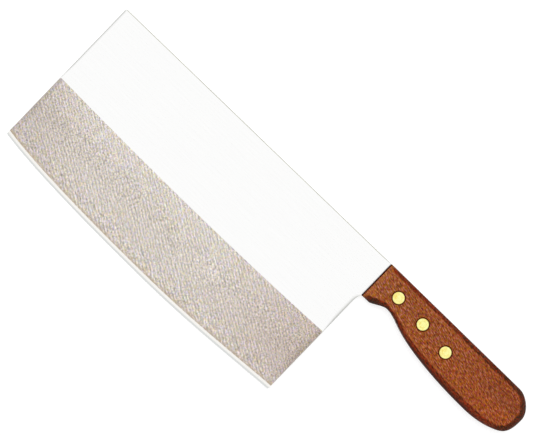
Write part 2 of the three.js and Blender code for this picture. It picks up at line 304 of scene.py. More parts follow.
class BladeSettings(bpy.types.PropertyGroup):
    heel_setback: size("Heel Setback", "From the heel line to the handle's front end", 1.7)
    belly_from_heel: size("Belly From Heel", "From the heel to the deepest point of the edge", 93.3)
    tip_rise: size("Tip Rise", "How much higher the edge is at the tip than at the belly", 6.2)
    heel_rise: size("Heel Rise", "How much higher the edge is at the heel than at the belly", 4.5)
    grind_depth: size("Grind Depth", "From the spine to the ground face, at the belly", 59.2)
    grind_tip_rise: size("Grind Tip Rise", "How much higher the ground face starts at the tip", 2.2)
    grind_heel_rise: size("Grind Heel Rise", "How much higher the ground face starts at the heel", 1.5)
    strip_height: size("Strip Height", "Height of the sharpened strip", 2.7)
    hone_height: size("Hone Height", "Height of the honed line along the very edge", 1.2)
    strip_thickness: size("Strip Thickness", "Blade thickness where the sharpened strip starts", 0.5)
    edge_land: size("Edge Land", "Thickness left at the very edge", 0.1)
    ease_depth: size("Ease Depth", "How deep the spine, the tip and the heel are eased", 0.3)
    ease_width: size("Ease Width", "Width of the easing along the spine and the ground ends", 0.5)
    tip_ease_width: size("Tip Ease Width", "Width of the easing along the tip, above the ground face", 1.5)
    choil_width: size("Choil Width", "Width of the easing along the heel, above the ground face", 2.4)
    tip_corner: size("Tip Corner", "Radius where the tip meets the spine", 1.2)
    edge_corner: size("Edge Corner", "Radius at both ends of the cutting edge", 1)
    neck_height: size("Neck Height", "Height of the curve from the heel up to the handle", 6)
    tang_corner: size("Tang Corner", "Rounding of the tang's far corners", 1.5)
    rivet_hole: size("Rivet Hole", "Diameter of the holes through the tang", 5.4)
    line_angle: angle("Grinding Angle", "Slant of the grinding lines to the spine", 32)
    line_pitch: size("Grinding Pitch", "Distance from one grinding line to the next", 1.9)
    flat_tint: tint("Flat", "Colour of the polished flat", 0.985, 0.985, 0.98)
    # The dark line along the handle's front end is painted shadow at the joint.
    seam_shadow_tint: tint("Seam", "Colour of the line of dirt along the handle's front end", 0.1, 0.08, 0.06)
    ground_tint: tint("Ground Face", "Colour of the ground face where it is brightest", 0.726, 0.662, 0.606)
    dull_tint: tint("Dull Ground Face", "Colour of the ground face at its ends", 0.59, 0.519, 0.473)
    burr_tint: tint("Burr Line", "Colour of the line where the ground face ends", 0.5, 0.41, 0.31)
    strip_tint: tint("Strip", "Colour of the sharpened strip", 0.97, 0.95, 0.91)
    hone_tint: tint("Honed Line", "Colour of the honed line along the edge", 0.72, 0.73, 0.72)
    # The greys of the spine and of the tip's and heel's edges are partly painted reflection of darker
    # surroundings.
    spine_tint: tint("Spine", "Colour of the spine", 0.66, 0.66, 0.57)
    end_tint: tint("Tip and Heel", "Colour of the tip's and the heel's edges on the flat", 0.66, 0.665, 0.64)
    ground_end_tint: tint("Ground Ends", "Colour of these edges on the ground face", 0.4, 0.365, 0.32)


class HandleSettings(bpy.types.PropertyGroup):
    front_height: size("Front Height", "Height of the handle at its front end", 25.9)
    top_fall: size("Top Fall", "How far the top edge falls towards the butt", 0.6)
    lip_length: size("Lip Length", "From the front end to the finger notch", 6)
    notch_from_front: size("Notch From Front", "From the front end to the top of the finger notch", 16.8)
    notch_rise: size("Notch Rise", "Depth of the finger notch above the lip", 4.6)
    flare_from_front: size("Flare From Front", "Where the underside turns from hollow to full", 33)
    flare_drop: size("Flare Drop", "How far below the lip the underside is there", 0.1)
    swell_from_butt: size("Swell From Butt", "From the butt to the deepest place", 29)
    butt_round: size("Butt Round", "Length over which the top edge rounds down to the butt", 14)
    nose_depth: size("Nose Depth", "Rearmost point, below the spine line", 13.5)
    chin_setback: size("Chin Setback", "Start of the slanted underside, ahead of the rearmost point", 8.4)
    chin_rise: size("Chin Rise", "Height of the chin above the swell", 3.9)
    rim_top_front: size("Top Rim, Front", "Width of the rounded rim at the front of the top edge", 2.4)
    rim_top_rear: size("Top Rim, Rear", "Width of the rounded rim at the rear of the top edge", 2.8)
    rim_butt: size("Butt Rim", "Width of the rounded rim at the rearmost point", 4.7)
    rim_chin: size("Chin Rim", "Width of the rounded rim where the butt turns into the underside", 3.4)
    rim_swell: size("Swell Rim", "Width of the rounded rim at the deepest place", 4.3)
    rim_flare: size("Flare Rim", "Width of the rounded rim where the underside turns hollow", 2.5)
    rim_notch: size("Notch Rim", "Width of the rounded rim at the top of the finger notch", 1.9)
    rim_notch_end: size("Notch End Rim", "Width of the rim where the notch meets the lip", 4)
    rim_lip: size("Lip Rim", "Width of the rim at the front end of the lip", 0.5)
    rim_soft: size("Soft Edge", "Softening of the line between rim and side face", 0.5)
    # The paler line beside the rim is wear and a painted highlight along the crease.
    wear_and_highlight_width: size("Worn Width", "Width of the paler line on the side face beside the rim", 1.1)
    side_land: size("Side Land", "Least width left straight between the two rims", 3)
    kerf_clearance: size("Kerf Clearance", "Room beside the tang, on each side", 0.05)
    kerf_end_clearance: size("Kerf End Clearance", "Room past the tang's end", 0.4)
    counterbore: size("Counterbore", "Diameter of the seats for the rivet heads", 8)
    counterbore_ease: size("Counterbore Ease", "Chamfer round the mouth of each seat", 0.4)
    counterbore_depth: size("Counterbore Depth", "Depth of the seats for the rivet heads", 2.7)
    bore: size("Bore", "Diameter of the holes for the rivet tubes", 5.4)
    grain_angle: angle("Grain Angle", "Slant of the wood's fibres to the top edge", 17)
    # Where the darker upper band of the side faces begins
    upper_band_depth: size("Heartwood Depth", "From the top edge down to where the paler wood begins", 16.5)
    red_tint: tint("Red Wood", "Colour of the reddish fibres", 0.3, 0.04, 0.024)
    ochre_tint: tint("Ochre Wood", "Colour of the yellowish fibres", 0.3, 0.106, 0.004)
    pale_tint: tint("Pale Wood", "Colour of the palest fibres", 0.6, 0.222, 0.085)
    dark_tint: tint("Dark Wood", "Colour of the dark fibres", 0.069, 0.0165, 0.007)
    # The rims' darker red is partly their finish and partly painted shade of rims turned from the lamp.
    rim_tint: tint("Rim", "Colour of the rounded rims, darkened by their finish", 0.25, 0.036, 0.01)
    # The blackened stretches of the rims are partly dirt and partly painted shade.
    stain_and_shade_tint: tint("Stain", "Colour of the blackened stretches of the rims", 0.04, 0.016, 0.006)
    pore_tint: tint("Pores", "Colour of the pores and the cut wood", 0.03, 0.01, 0.005)


class RivetSettings(bpy.types.PropertyGroup):
    head_height: size("Head Height", "Thickness of a rivet head", 2.4)
    tube: size("Tube", "Outer diameter of the female half's tube", 5)
    shank: size("Shank", "Diameter of the male half's shank", 3.2)
    shank_clearance: size("Shank Clearance", "Room round the shank in its tube", 0.05)
    end_clearance: size("End Clearance", "Room past the ends of the shank and the tube", 0.5)
    chamfer: size("Head Chamfer", "Chamfer round a rivet head", 0.12)
    brass_tint: tint("Brass", "Colour of the rivets", 0.99, 0.97, 0.4)
    tarnish_tint: tint("Tarnish", "Colour of the brass where it has dulled", 0.94, 0.76, 0.19)


class StageSettings(bpy.types.PropertyGroup):
    camera_distance: size("Camera Distance", "From the camera to the blade's middle plane", 1200)
    view_width: size("View Width", "Width of the picture at the blade's middle plane", 320.1)
    view_x: coordinate("View X", "Place under the camera, along the knife", -23.258)
    view_y: coordinate("View Y", "Place under the camera, across the knife", 22.89)
    camera_roll: angle("Camera Roll", "Turn of the picture about the view", 43.936)
    key_tilt: angle("Key Tilt", "Slant of the main lamp from straight above", 9)
    key_spread: angle("Key Spread", "Softness of the main lamp", 25)
    key_level: share("Key Level", "Brightness that the main lamp gives to a white surface", 0.85)
    fill_level: share("Fill Level", "Brightness that the surroundings give to a white surface", 0.15)
    horizon_level: share("Horizon Level", "Brightness of the horizon in reflections, under a white sky", 0.6)
    horizon_height: share("Horizon Height", "Sine of the height that the horizon's grey reaches", 0.7)
    floor_tint: tint("Floor", "Colour of the floor", 0.3, 0.3, 0.3)
    floor_glow: share("Floor Glow", "White that the camera sees on the floor besides its own colour", 0.8)


# Node trees


def add(tree, kind, inputs=(), **settings):
    """One node, with its settings, and with values or links on its inputs, by name or number."""
    made = tree.nodes.new(kind)
    made.location = (NODE_STEP * len(tree.nodes), 0)
    for name, value in settings.items():
        setattr(made, name, value)
    for socket, value in dict(inputs).items():
        if isinstance(value, bpy.types.NodeSocket):
            tree.links.new(value, made.inputs[socket])
        else:
            made.inputs[socket].default_value = value
    return made


def calc(tree, operation, *values):
    return add(tree, "ShaderNodeMath", enumerate(values), operation=operation).outputs[0]


def vector_calc(tree, operation, *values):
    return add(tree, "ShaderNodeVectorMath", enumerate(values), operation=operation).outputs[0]


def triple(tree, x, y, z):
    return add(tree, "ShaderNodeCombineXYZ", {"X": x, "Y": y, "Z": z}).outputs[0]


def axes(tree, vector):
    return add(tree, "ShaderNodeSeparateXYZ", {"Vector": vector}).outputs


def turned_about_z(tree, vector, turn):
    inputs = {"Vector": vector, "Angle": turn}
    return add(tree, "ShaderNodeVectorRotate", inputs, rotation_type="Z_AXIS").outputs[0]


def ranged(tree, value, low, high, to_low=0.0, to_high=1.0, kind="LINEAR"):
    """A value carried from one range to another, and held inside it."""
    limits = {"From Min": low, "From Max": high, "To Min": to_low, "To Max": to_high}
    return add(tree, "ShaderNodeMapRange", {"Value": value, **limits}, interpolation_type=kind).outputs[0]


def opaque(colour):
    """A socket as it is, or a colour with full alpha."""
    return colour if isinstance(colour, bpy.types.NodeSocket) else (*colour, 1.0)


def blended(tree, factor, first, second, blend="MIX"):
    inputs = {0: factor, 6: opaque(first), 7: opaque(second)}
    return add(tree, "ShaderNodeMix", inputs, data_type="RGBA", blend_type=blend).outputs[2]


def noise(tree, vector, scale=1.0, detail=2.0):
    inputs = {"Vector": vector, "Scale": scale, "Detail": detail}
    return add(tree, "ShaderNodeTexNoise", inputs).outputs[0]


def dimmed(colour, level):
    """A colour times a level."""
    return tuple(level * value for value in colour)


def new_group(name, kind, inputs, outputs):
    """An empty node group with its sockets, its input node and its output node."""
    tree = bpy.data.node_groups.new(name, kind)
    for socket, socket_type in inputs:
        tree.interface.new_socket(socket, in_out="INPUT", socket_type=socket_type)
    for socket, socket_type in outputs:
        tree.interface.new_socket(socket, in_out="OUTPUT", socket_type=socket_type)
    return tree, tree.nodes.new("NodeGroupInput").outputs, tree.nodes.new("NodeGroupOutput").inputs


def new_material(name):
    material = bpy.data.materials.new(name)
    material.use_nodes = True
    material.node_tree.nodes.clear()
    return material, material.node_tree


def finish_material(tree, surface, height, relief):
    """The Principled BSDF of a material with its relief, as depth and strength, and its output."""
    depth, strength = relief
    bump = {"Height": height, "Distance": depth, "Strength": strength}
    normal = add(tree, "ShaderNodeBump", bump).outputs[0]
    shader = add(tree, "ShaderNodeBsdfPrincipled", {**surface, "Normal": normal})
    add(tree, "ShaderNodeOutputMaterial", {"Surface": shader.outputs[0]})


def finish_metal(tree, colour, roughness, height, relief):
    surface = {"Base Color": colour, "Metallic": 1.0, "Roughness": roughness}
    finish_material(tree, surface, height, relief)


def object_coordinates(tree):
    return add(tree, "ShaderNodeTexCoord").outputs["Object"]


# Shared surface effects


def streaks_group():
    """Group: short parallel streaks, as left by a grinding belt or as wood fibres lie, from 0 to 1."""
    known = bpy.data.node_groups.get("Streaks")
    if known:
        return known
    inputs = (("Vector", "NodeSocketVector"), ("Angle", "NodeSocketFloat"))
    inputs += (("Along", "NodeSocketFloat"), ("Across", "NodeSocketFloat"))
    tree, given, out = new_group("Streaks", "ShaderNodeTree", inputs, (("Streaks", "NodeSocketFloat"),))
    turned = turned_about_z(tree, given["Vector"], given["Angle"])
    cells = triple(tree, given["Along"], given["Across"], given["Across"])
    pattern = noise(tree, vector_calc(tree, "MULTIPLY", turned, cells))
    tree.links.new(ranged(tree, pattern, *STREAK_LEVELS), out["Streaks"])
    return tree


def handling_marks():
    """Group: soft cloudy patches where a surface has been touched and wiped, from 0 to 1."""
    known = bpy.data.node_groups.get("Handling Marks")
    if known:
        return known
    inputs = (("Vector", "NodeSocketVector"), ("Scale", "NodeSocketFloat"))
    tree, given, out = new_group("Handling Marks", "ShaderNodeTree", inputs, (("Marks", "NodeSocketFloat"),))
    clouds = noise(tree, given["Vector"], given["Scale"], detail=4.0)
    tree.links.new(ranged(tree, clouds, *MARK_LEVELS, kind="SMOOTHSTEP"), out["Marks"])
    return tree


def streaks(tree, vector, turn, cells):
    along, across = cells
    inputs = {"Vector": vector, "Angle": turn, "Along": along, "Across": across}
    return add(tree, "ShaderNodeGroup", inputs, node_tree=streaks_group()).outputs["Streaks"]


def marks(tree, vector, scale):
    inputs = {"Vector": vector, "Scale": scale}
    return add(tree, "ShaderNodeGroup", inputs, node_tree=handling_marks()).outputs["Marks"]


# Materials


def attribute(tree, name, output="Fac"):
    return add(tree, "ShaderNodeAttribute", attribute_name=name).outputs[output]


def weighed(tree, *pairs):
    """Sum of values, each times its weight."""
    total = calc(tree, "MULTIPLY", *pairs[0])
    for value, weight in pairs[1:]:
        total = calc(tree, "MULTIPLY_ADD", value, weight, total)
    return total


def product(tree, value, *others):
    for other in others:
        value = calc(tree, "MULTIPLY", value, other)
    return value


def faded(tree, place, origin, span, low=0.0, high=1.0, kind="LINEAR"):
    """A value that goes from low to high over a span, given as two distances in mm from an origin."""
    first, last = (origin + distance * MM for distance in span)
    return ranged(tree, place, first, last, low, high, kind)


def tinged(tree, mask, colour, factors):
    """A colour times factors, as far as a mask says."""
    return blended(tree, mask, colour, factors, "MULTIPLY")


def varied(tree, mask, colour, low, high):
    """A colour times factors that go from low to high with a mask."""
    return blended(tree, 1.0, colour, blended(tree, mask, low, high), "MULTIPLY")


def polished_flat(blade):
    """Bright flat with faint lengthwise polishing lines, and a painted shadow line along the handle's front
    end.
    """
    material, tree = new_material("polished_flat")
    place = object_coordinates(tree)
    polish = streaks(tree, place, 0.0, POLISH_LINES)
    colour = blended(tree, polish, dimmed(blade.flat_tint, FLAT_WORN), blade.flat_tint)
    # painted shadow: a dark line on the flat just before the handle's front end
    seam_shadow = faded(tree, axes(tree, place)["X"], FRONT_X, (-0.7, -0.2), 0.0, SEAM_SHADOW_SHARE)
    colour = blended(tree, seam_shadow, colour, blade.seam_shadow_tint)
    roughness = ranged(tree, marks(tree, place, FLAT_MARKS), 0.0, 1.0, *FLAT_ROUGHNESS)
    finish_metal(tree, colour, roughness, polish, FLAT_RELIEF)
    return material


def ground_scratches(tree, place, blade):
    """Slanted grinding lines and the short scratches between them, from 0 to 1."""
    turned = turned_about_z(tree, place, blade.line_angle)
    wander = noise(tree, turned, LINE_WANDER)
    turns = 2 * math.pi / blade.line_pitch
    phase = weighed(tree, (axes(tree, turned)["Y"], turns), (wander, WANDER_TURN))
    lines = ranged(tree, calc(tree, "SINE", phase), -1.0, 1.0)
    coarse = streaks(tree, place, blade.line_angle, COARSE_SCRATCHES)
    fine = streaks(tree, place, blade.line_angle, FINE_SCRATCHES)
    scratches = weighed(tree, (lines, 0.14), (coarse, 0.22), (fine, 0.64))
    return ranged(tree, scratches, *SCRATCH_LEVELS)


def ground_tone(tree, along, across, blade):
    """Slow changes over the ground face: lighter in its upper middle, a faint duller band lengthwise near
    both ends, a blush and a clearer low corner towards the heel, and shade close to the tip and the heel."""
    heel_x = heel_line(blade)
    grind_y = SPINE_Y - blade.grind_depth
    heel_fade = faded(tree, along, FRONT_X, (-90, 0), 1.0, 0.0, "SMOOTHSTEP")
    slant = weighed(tree, (along, 1.0), (across, TIP_SLANT))
    tip_fade = faded(tree, slant, TIP_X + TIP_SLANT * BELLY_Y, (0, 75), 0.1, 1.0, "SMOOTHSTEP")
    edge_fade = ranged(tree, across, BELLY_Y, grind_y, 0.55, 1.0)
    level = product(tree, heel_fade, tip_fade, edge_fade)
    tone = blended(tree, level, blade.dull_tint, blade.ground_tint)
    band_foot = faded(tree, across, grind_y, (-30, -19), kind="SMOOTHSTEP")
    band_head = faded(tree, across, grind_y, (-17, -8), 1.0, 0.0, "SMOOTHSTEP")
    tip_part = faded(tree, along, TIP_X, (100, 150), 0.6, 0.0)
    heel_part = faded(tree, along, heel_x, (-40, 0))
    band = product(tree, band_foot, band_head, calc(tree, "MAXIMUM", tip_part, heel_part))
    tone = tinged(tree, band, tone, STEEL_BAND)
    heelward = faded(tree, along, heel_x, (-80, 0))
    tone = tinged(tree, heelward, tone, STEEL_BLUSH)
    low_corner = faded(tree, across, BELLY_Y, (6, 20), 1.0, 0.0)
    tone = tinged(tree, product(tree, heelward, low_corner), tone, STEEL_CLEARED)
    tip_shade = faded(tree, along, TIP_X, (1, 4), 0.7, 0.0)
    heel_shade = faded(tree, along, heel_x, (-6, -1), 0.0, 0.9)
    heel_shade = product(tree, heel_shade, faded(tree, across, BELLY_Y, (7, 24), 0.4, 1.0))
    return tinged(tree, calc(tree, "MAXIMUM", tip_shade, heel_shade), tone, STEEL_SHADED)


def ground_face(blade):
    """Satin ground face with slanted grinding lines, a faint play of colours in them, and a burr line."""
    material, tree = new_material("ground_face")
    place = object_coordinates(tree)
    split = axes(tree, place)
    scratches = ground_scratches(tree, place, blade)
    shifted = vector_calc(tree, "ADD", place, HUE_SHIFT)
    hues = streaks(tree, shifted, blade.line_angle, STEEL_HUES)
    glints = streaks(tree, vector_calc(tree, "ADD", shifted, HUE_SHIFT), blade.line_angle, STEEL_HUES)
    colour = ground_tone(tree, split["X"], split["Y"], blade)
    colour = varied(tree, scratches, colour, SCRATCH_DARK, SCRATCH_BRIGHT)
    colour = varied(tree, hues, colour, STEEL_WARM, STEEL_COOL)
    colour = varied(tree, glints, colour, STEEL_ROSY, STEEL_GREENISH)
    burr = ranged(tree, attribute(tree, "ground"), *BURR_LINE)
    burr = product(tree, burr, ranged(tree, scratches, 0.3, 0.7, 1.0, 0.35))
    colour = blended(tree, burr, colour, blade.burr_tint)
    roughness = ranged(tree, scratches, 0.0, 1.0, *GROUND_ROUGHNESS)
    finish_metal(tree, colour, roughness, scratches, GROUND_RELIEF)
    return material


def sharpened_strip(blade):
    """Bright strip with stoning lines nearly square to the edge, and a greyer honed line at the very edge."""
    material, tree = new_material("sharpened_strip")
    stoned = streaks(tree, object_coordinates(tree), STONING_ANGLE, STONING_LINES)
    colour = blended(tree, stoned, dimmed(blade.strip_tint, STRIP_WORN), blade.strip_tint)
    hone_from = 2 - blade.hone_height / blade.strip_height
    limits = (hone_from - HONE_SOFTNESS, hone_from + HONE_SOFTNESS)
    honed = ranged(tree, attribute(tree, "ground"), *limits)
    colour = blended(tree, honed, colour, blade.hone_tint)
    roughness = ranged(tree, stoned, 0.0, 1.0, *STRIP_ROUGHNESS)
    finish_metal(tree, colour, roughness, stoned, STRIP_RELIEF)
    return material


def plate_edges(blade):
    """Spine, tip, heel and tang edges, linished along the plate. The spine is more yellowish, and the tip's
    and the heel's edges fade into the faces beside them."""
    material, tree = new_material("plate_edges")
    place = object_coordinates(tree)
    linished = streaks(tree, place, 0.0, LINISHING_LINES)
    touched = marks(tree, place, EDGE_MARKS)
    ground = ranged(tree, attribute(tree, "ground"), *GROUND_END)
    eased = ranged(tree, attribute(tree, "ease"), *EASED)
    wear = weighed(tree, (linished, 0.5), (touched, 0.5))
    # the edges' darker greys are partly painted reflection of darker surroundings
    spine, end, ground_end = (
        blended(tree, wear, colour, dimmed(colour, EDGE_WORN))
        for colour in (blade.spine_tint, blade.end_tint, blade.ground_end_tint)
    )
    face = blended(tree, ground, blade.flat_tint, blade.dull_tint)
    ends = blended(tree, eased, face, blended(tree, ground, end, ground_end))
    colour = blended(tree, attribute(tree, "end"), spine, ends)
    roughness = ranged(tree, touched, 0.0, 1.0, *EDGE_ROUGHNESS)
    finish_metal(tree, colour, roughness, linished, EDGE_RELIEF)
    return material


def side_wood(tree, along, across, mixture, hues, tones, handle):
    """Colour of the handle's side faces: red, ochre, dark and pale fibres, paler towards the front, with a
    darker band along the upper half, strongest towards the butt, a paler line of wear and painted highlight
    beside the rims and a paler front edge."""
    rearward = ranged(tree, along, FRONT_X, BUTT_X)
    hue = ranged(tree, weighed(tree, (hues, 1.0), (rearward, -0.1)), *HUE_LEVELS)
    base = blended(tree, hue, handle.red_tint, handle.ochre_tint)
    colour = blended(tree, ranged(tree, mixture, *DARK_FIBRES), handle.dark_tint, base)
    colour = blended(tree, ranged(tree, mixture, *PALE_FIBRES), colour, handle.pale_tint)
    colour = varied(tree, rearward, colour, WOOD_FRONT, WOOD_REAR)
    # darker band along the upper half of the side faces, strongest towards the butt
    upper_band = faded(tree, across, SPINE_Y - handle.upper_band_depth, (-2, 2))
    under_top = faded(tree, across, SPINE_Y, (-13, -5), 1.0, 0.4)
    near_butt = faded(tree, along, BUTT_X, (-39, -25), 0.55, 1.0)
    colour = varied(tree, product(tree, upper_band, under_top, near_butt), colour, LOWER_FACE_TONE, UPPER_FACE_TONE)
    colour = varied(tree, tones, colour, WOOD_DEEP, WOOD_DUSTY)
    front_edge = faded(tree, along, FRONT_X, (0.8, 3.5), PALE_SHARE, 0.0)
    # paler line beside the rims: wear and a painted highlight along the crease
    wear_and_highlight = product(tree, attribute(tree, "wear_and_highlight"), PALE_SHARE)
    return blended(tree, calc(tree, "MAXIMUM", front_edge, wear_and_highlight), colour, handle.pale_tint)


def rim_wood(tree, along, mixture, tones, handle):
    """Colour of the handle's rims: dark red, with painted shade low on the underside, and blackened in places
    by dirt and painted shade.
    """
    # painted shade on the outer part of the rims along the underside, weaker near the butt
    from_butt = faded(tree, along, BUTT_X, (-30, -18), 1.0, 0.35)
    dulled = product(tree, attribute(tree, "shade"), from_butt)
    colour = blended(tree, dulled, handle.rim_tint, dimmed(handle.rim_tint, RIM_PAINTED_SHADE))
    colour = varied(tree, ranged(tree, mixture, *RIM_LEVELS), colour, RIM_SHADOWED, RIM_LIT)
    # blackening by dirt and painted shade, set per place along the outline
    stain = weighed(tree, (attribute(tree, "stain"), 1.0), (mixture, -1.4))
    colour = blended(tree, ranged(tree, stain, *STAIN_AND_SHADE_LEVELS), colour, handle.stain_and_shade_tint)
    return varied(tree, tones, colour, RIM_RUDDY, RIM_MOSSY)


def handle_wood(handle):
    """Reddish brown hardwood with slanted flecks and fibres, short pores and darker rims, partly painted
    shade.
    """
    material, tree = new_material("handle_wood")
    place = object_coordinates(tree)
    split = axes(tree, place)
    shifted = vector_calc(tree, "ADD", place, HUE_SHIFT)
    shifted_twice = vector_calc(tree, "ADD", shifted, HUE_SHIFT)
    flecks = streaks(tree, place, handle.grain_angle, WOOD_FLECKS)
    fibres = streaks(tree, place, handle.grain_angle, WOOD_FIBRES)
    bands = streaks(tree, place, handle.grain_angle / 2, WOOD_BANDS)
    hues = streaks(tree, shifted, handle.grain_angle, WOOD_HUES)
    tones = streaks(tree, shifted_twice, handle.grain_angle, WOOD_TONES)
    tones = ranged(tree, tones, *TONE_LEVELS)
    vessels = streaks(tree, shifted, handle.grain_angle, WOOD_VESSELS)
    pore = ranged(tree, vessels, *PORE_LEVELS)
    mixture = weighed(tree, (flecks, 0.6), (fibres, 0.3), (bands, 0.1))
    side = side_wood(tree, split["X"], split["Y"], mixture, hues, tones, handle)
    rim = rim_wood(tree, split["X"], mixture, tones, handle)
    behind_front = faded(tree, split["X"], FRONT_X, (1, 4))
    # rims: darker colour, partly painted shade
    colour = blended(tree, product(tree, attribute(tree, "rim"), behind_front), side, rim)
    colour = blended(tree, product(tree, pore, PORE_SHARE), colour, handle.pore_tint)
    touched = marks(tree, place, WOOD_MARKS)
    roughness = weighed(tree, (touched, 0.12), (pore, 0.15), (WOOD_ROUGHNESS, 1.0))
    relief = weighed(tree, (fibres, 0.35), (pore, -1.0))
    surface = {"Base Color": colour, "Roughness": roughness, "Specular IOR Level": OILED_GLOSS}
    finish_material(tree, surface, relief, WOOD_RELIEF)
    return material


def cut_wood(handle):
    """Bare dark wood in the kerf, in the rivet holes and on the sawn front end."""
    material, tree = new_material("cut_wood")
    place = object_coordinates(tree)
    saw_lines = streaks(tree, place, SAW_ANGLE, SAW_LINES)
    fibres = streaks(tree, place, handle.grain_angle, CUT_FIBRES)
    mixture = weighed(tree, (saw_lines, 0.5), (fibres, 0.5))
    colour = blended(tree, mixture, handle.pore_tint, handle.rim_tint)
    roughness = ranged(tree, saw_lines, 0.0, 1.0, *CUT_ROUGHNESS)
    surface = {"Base Color": colour, "Roughness": roughness, "Specular IOR Level": CUT_GLOSS}
    finish_material(tree, surface, mixture, CUT_RELIEF)
    return material


def rivet_brass(rivet, head_diameter):
    """Polished brass with faint turning rings about each rivet's own centre, a duller ring, a duller rim and
    tarnished patches."""
    material, tree = new_material("rivet_brass")
    place = object_coordinates(tree)
    spoke = vector_calc(tree, "SUBTRACT", place, attribute(tree, "rivet_centre", "Vector"))
    spoke = vector_calc(tree, "MULTIPLY", spoke, (1.0, 1.0, 0.0))
    radius = add(tree, "ShaderNodeVectorMath", {0: spoke}, operation="LENGTH").outputs["Value"]
    turning = noise(tree, triple(tree, product(tree, radius, TURNING_RINGS), 0.0, 0.0))
    turning = ranged(tree, turning, *TURNING_LEVELS)
    ring, ring_end, rim = (
        ranged(tree, radius, low * head_diameter, high * head_diameter, kind="SMOOTHSTEP")
        for low, high in (DULL_RING, DULL_RING_END, DULL_RIM)
    )
    touched = marks(tree, place, BRASS_MARKS)
    dulled = weighed(tree, (ring, 0.3), (ring_end, -0.3), (rim, 0.5), (touched, 0.9))
    colour = blended(tree, dulled, rivet.brass_tint, rivet.tarnish_tint)
    roughness = ranged(tree, turning, 0.0, 1.0, *BRASS_ROUGHNESS)
    finish_metal(tree, colour, roughness, turning, BRASS_RELIEF)
    return material


# Outlines, clockwise seen from above


Place = namedtuple("Place", "x y rim stain heading before after")


def handle_places(handle):
    """Places that the handle's outline passes, from its front top corner round to its front bottom corner,
    with the rim's width, how far it is blackened by dirt and painted shade, the outline's direction and how
    far its tangents reach before and after."""
    lip_y = SPINE_Y - handle.front_height
    top_rear = Vector((BUTT_X - handle.butt_round, SPINE_Y - handle.top_fall))
    chin = Vector((BUTT_X - handle.chin_setback, SWELL_Y + handle.chin_rise))
    flare = Vector((FRONT_X + handle.flare_from_front, lip_y - handle.flare_drop))
    notch = Vector((FRONT_X + handle.notch_from_front, lip_y + handle.notch_rise))
    # The fourth value of each place is its blackening by dirt and painted shade.
    return (
        Place(FRONT_X, SPINE_Y, handle.rim_top_front, 0.0, 0, 0, 0),
        Place(top_rear.x, top_rear.y, handle.rim_top_rear, 0.75, 0, 0, 0.3),
        Place(BUTT_X, SPINE_Y - handle.nose_depth, handle.rim_butt, 0.88, DOWN, 0.36, 0.65),
        Place(chin.x, chin.y, handle.rim_chin, 0.75, CHIN_HEADING, 0.3, 0.34),
        Place(BUTT_X - handle.swell_from_butt, SWELL_Y, handle.rim_swell, 0.0, FORWARD, 0.34, 0.36),
        Place(flare.x, flare.y, handle.rim_flare, 0.1, FLARE_HEADING, 0.25, 0.42),
        Place(notch.x, notch.y, handle.rim_notch, 0.1, FORWARD, 0.3, 0.3),
        Place(FRONT_X + handle.lip_length, lip_y, handle.rim_notch_end, 0.95, NOTCH_END_HEADING, 0.42, 0),
        Place(FRONT_X, lip_y, handle.rim_lip, 0.15, FORWARD, 0, 0),
    )


def heading_vector(heading):
    return Vector((math.cos(heading), math.sin(heading)))


def rims_between(first, last, shares):
    """Rim widths at shares of the way from one place to the next: the wider one is kept for longer."""
    gone = shares**2 if first > last else 1 - (1 - shares) ** 2
    return list(first + (last - first) * gone)


def stain_and_shade_between(first, last, shares):
    """Blackening by dirt and painted shade at shares of the way from one place to the next: it fades fast and
    sets in slowly.
    """
    gone = 1 - (1 - shares) ** 6 if first > last else (3 - 2 * shares) * shares**2
    return list(first + (last - first) * gone)


def handle_outline(handle):
    """Evenly spaced points of the handle's outline, with the rim's width and its blackening by dirt and
    painted shade at each.
    """
    points, rims, stains_and_shade = [], [], []
    places = handle_places(handle)
    shares = np.linspace(0, 1, PATH_STEPS + 1)
    for start, end in zip(places, places[1:]):
        first, last = Vector((start.x, start.y)), Vector((end.x, end.y))
        reach = (last - first).length
        leaving = first + heading_vector(start.heading) * start.after * reach
        arriving = last - heading_vector(end.heading) * end.before * reach
        path = np.array(interpolate_bezier(first, leaving, arriving, last, PATH_STEPS + 1))
        gone = np.append(0, np.cumsum(np.linalg.norm(np.diff(path, axis=0), axis=1)))
        steps = max(2, round(gone[-1] / OUTLINE_STEP))
        reached = np.interp(np.linspace(0, gone[-1], steps, endpoint=False), gone, shares)
        points += [Vector([np.interp(part, shares, axis) for axis in path.T]) for part in reached]
        rims += rims_between(start.rim, end.rim, reached)
        stains_and_shade += stain_and_shade_between(start.stain, end.stain, reached)
    end = places[-1]
    return points + [Vector((end.x, end.y))], rims + [end.rim], stains_and_shade + [end.stain]


def inward_normals(points):
    """Mitred inward normal at each point of a closed clockwise outline."""
    following = points[1:] + points[:1]
    along = [(after - point).normalized() for point, after in zip(points, following)]
    sides = [Vector((step.y, -step.x)) for step in along]
    middles = [(before + after).normalized() for before, after in zip(sides[-1:] + sides[:-1], sides)]
    return [middle / middle.dot(side) for middle, side in zip(middles, sides)]


def spread_normals(normals):
    """Normals averaged with their neighbours, so that a wide inset doesn't fold at a corner."""
    around = range(-SPREAD_STEPS, SPREAD_STEPS + 1)
    last = len(normals) - 1
    sums = [
        sum((normals[min(max(k + step, 0), last)] for step in around), Vector((0, 0)))
        for k in range(len(normals))
    ]
    return [total / len(around) for total in sums]


def heel_line(blade):
    """Where the heel is, as x."""
    return FRONT_X - blade.heel_setback


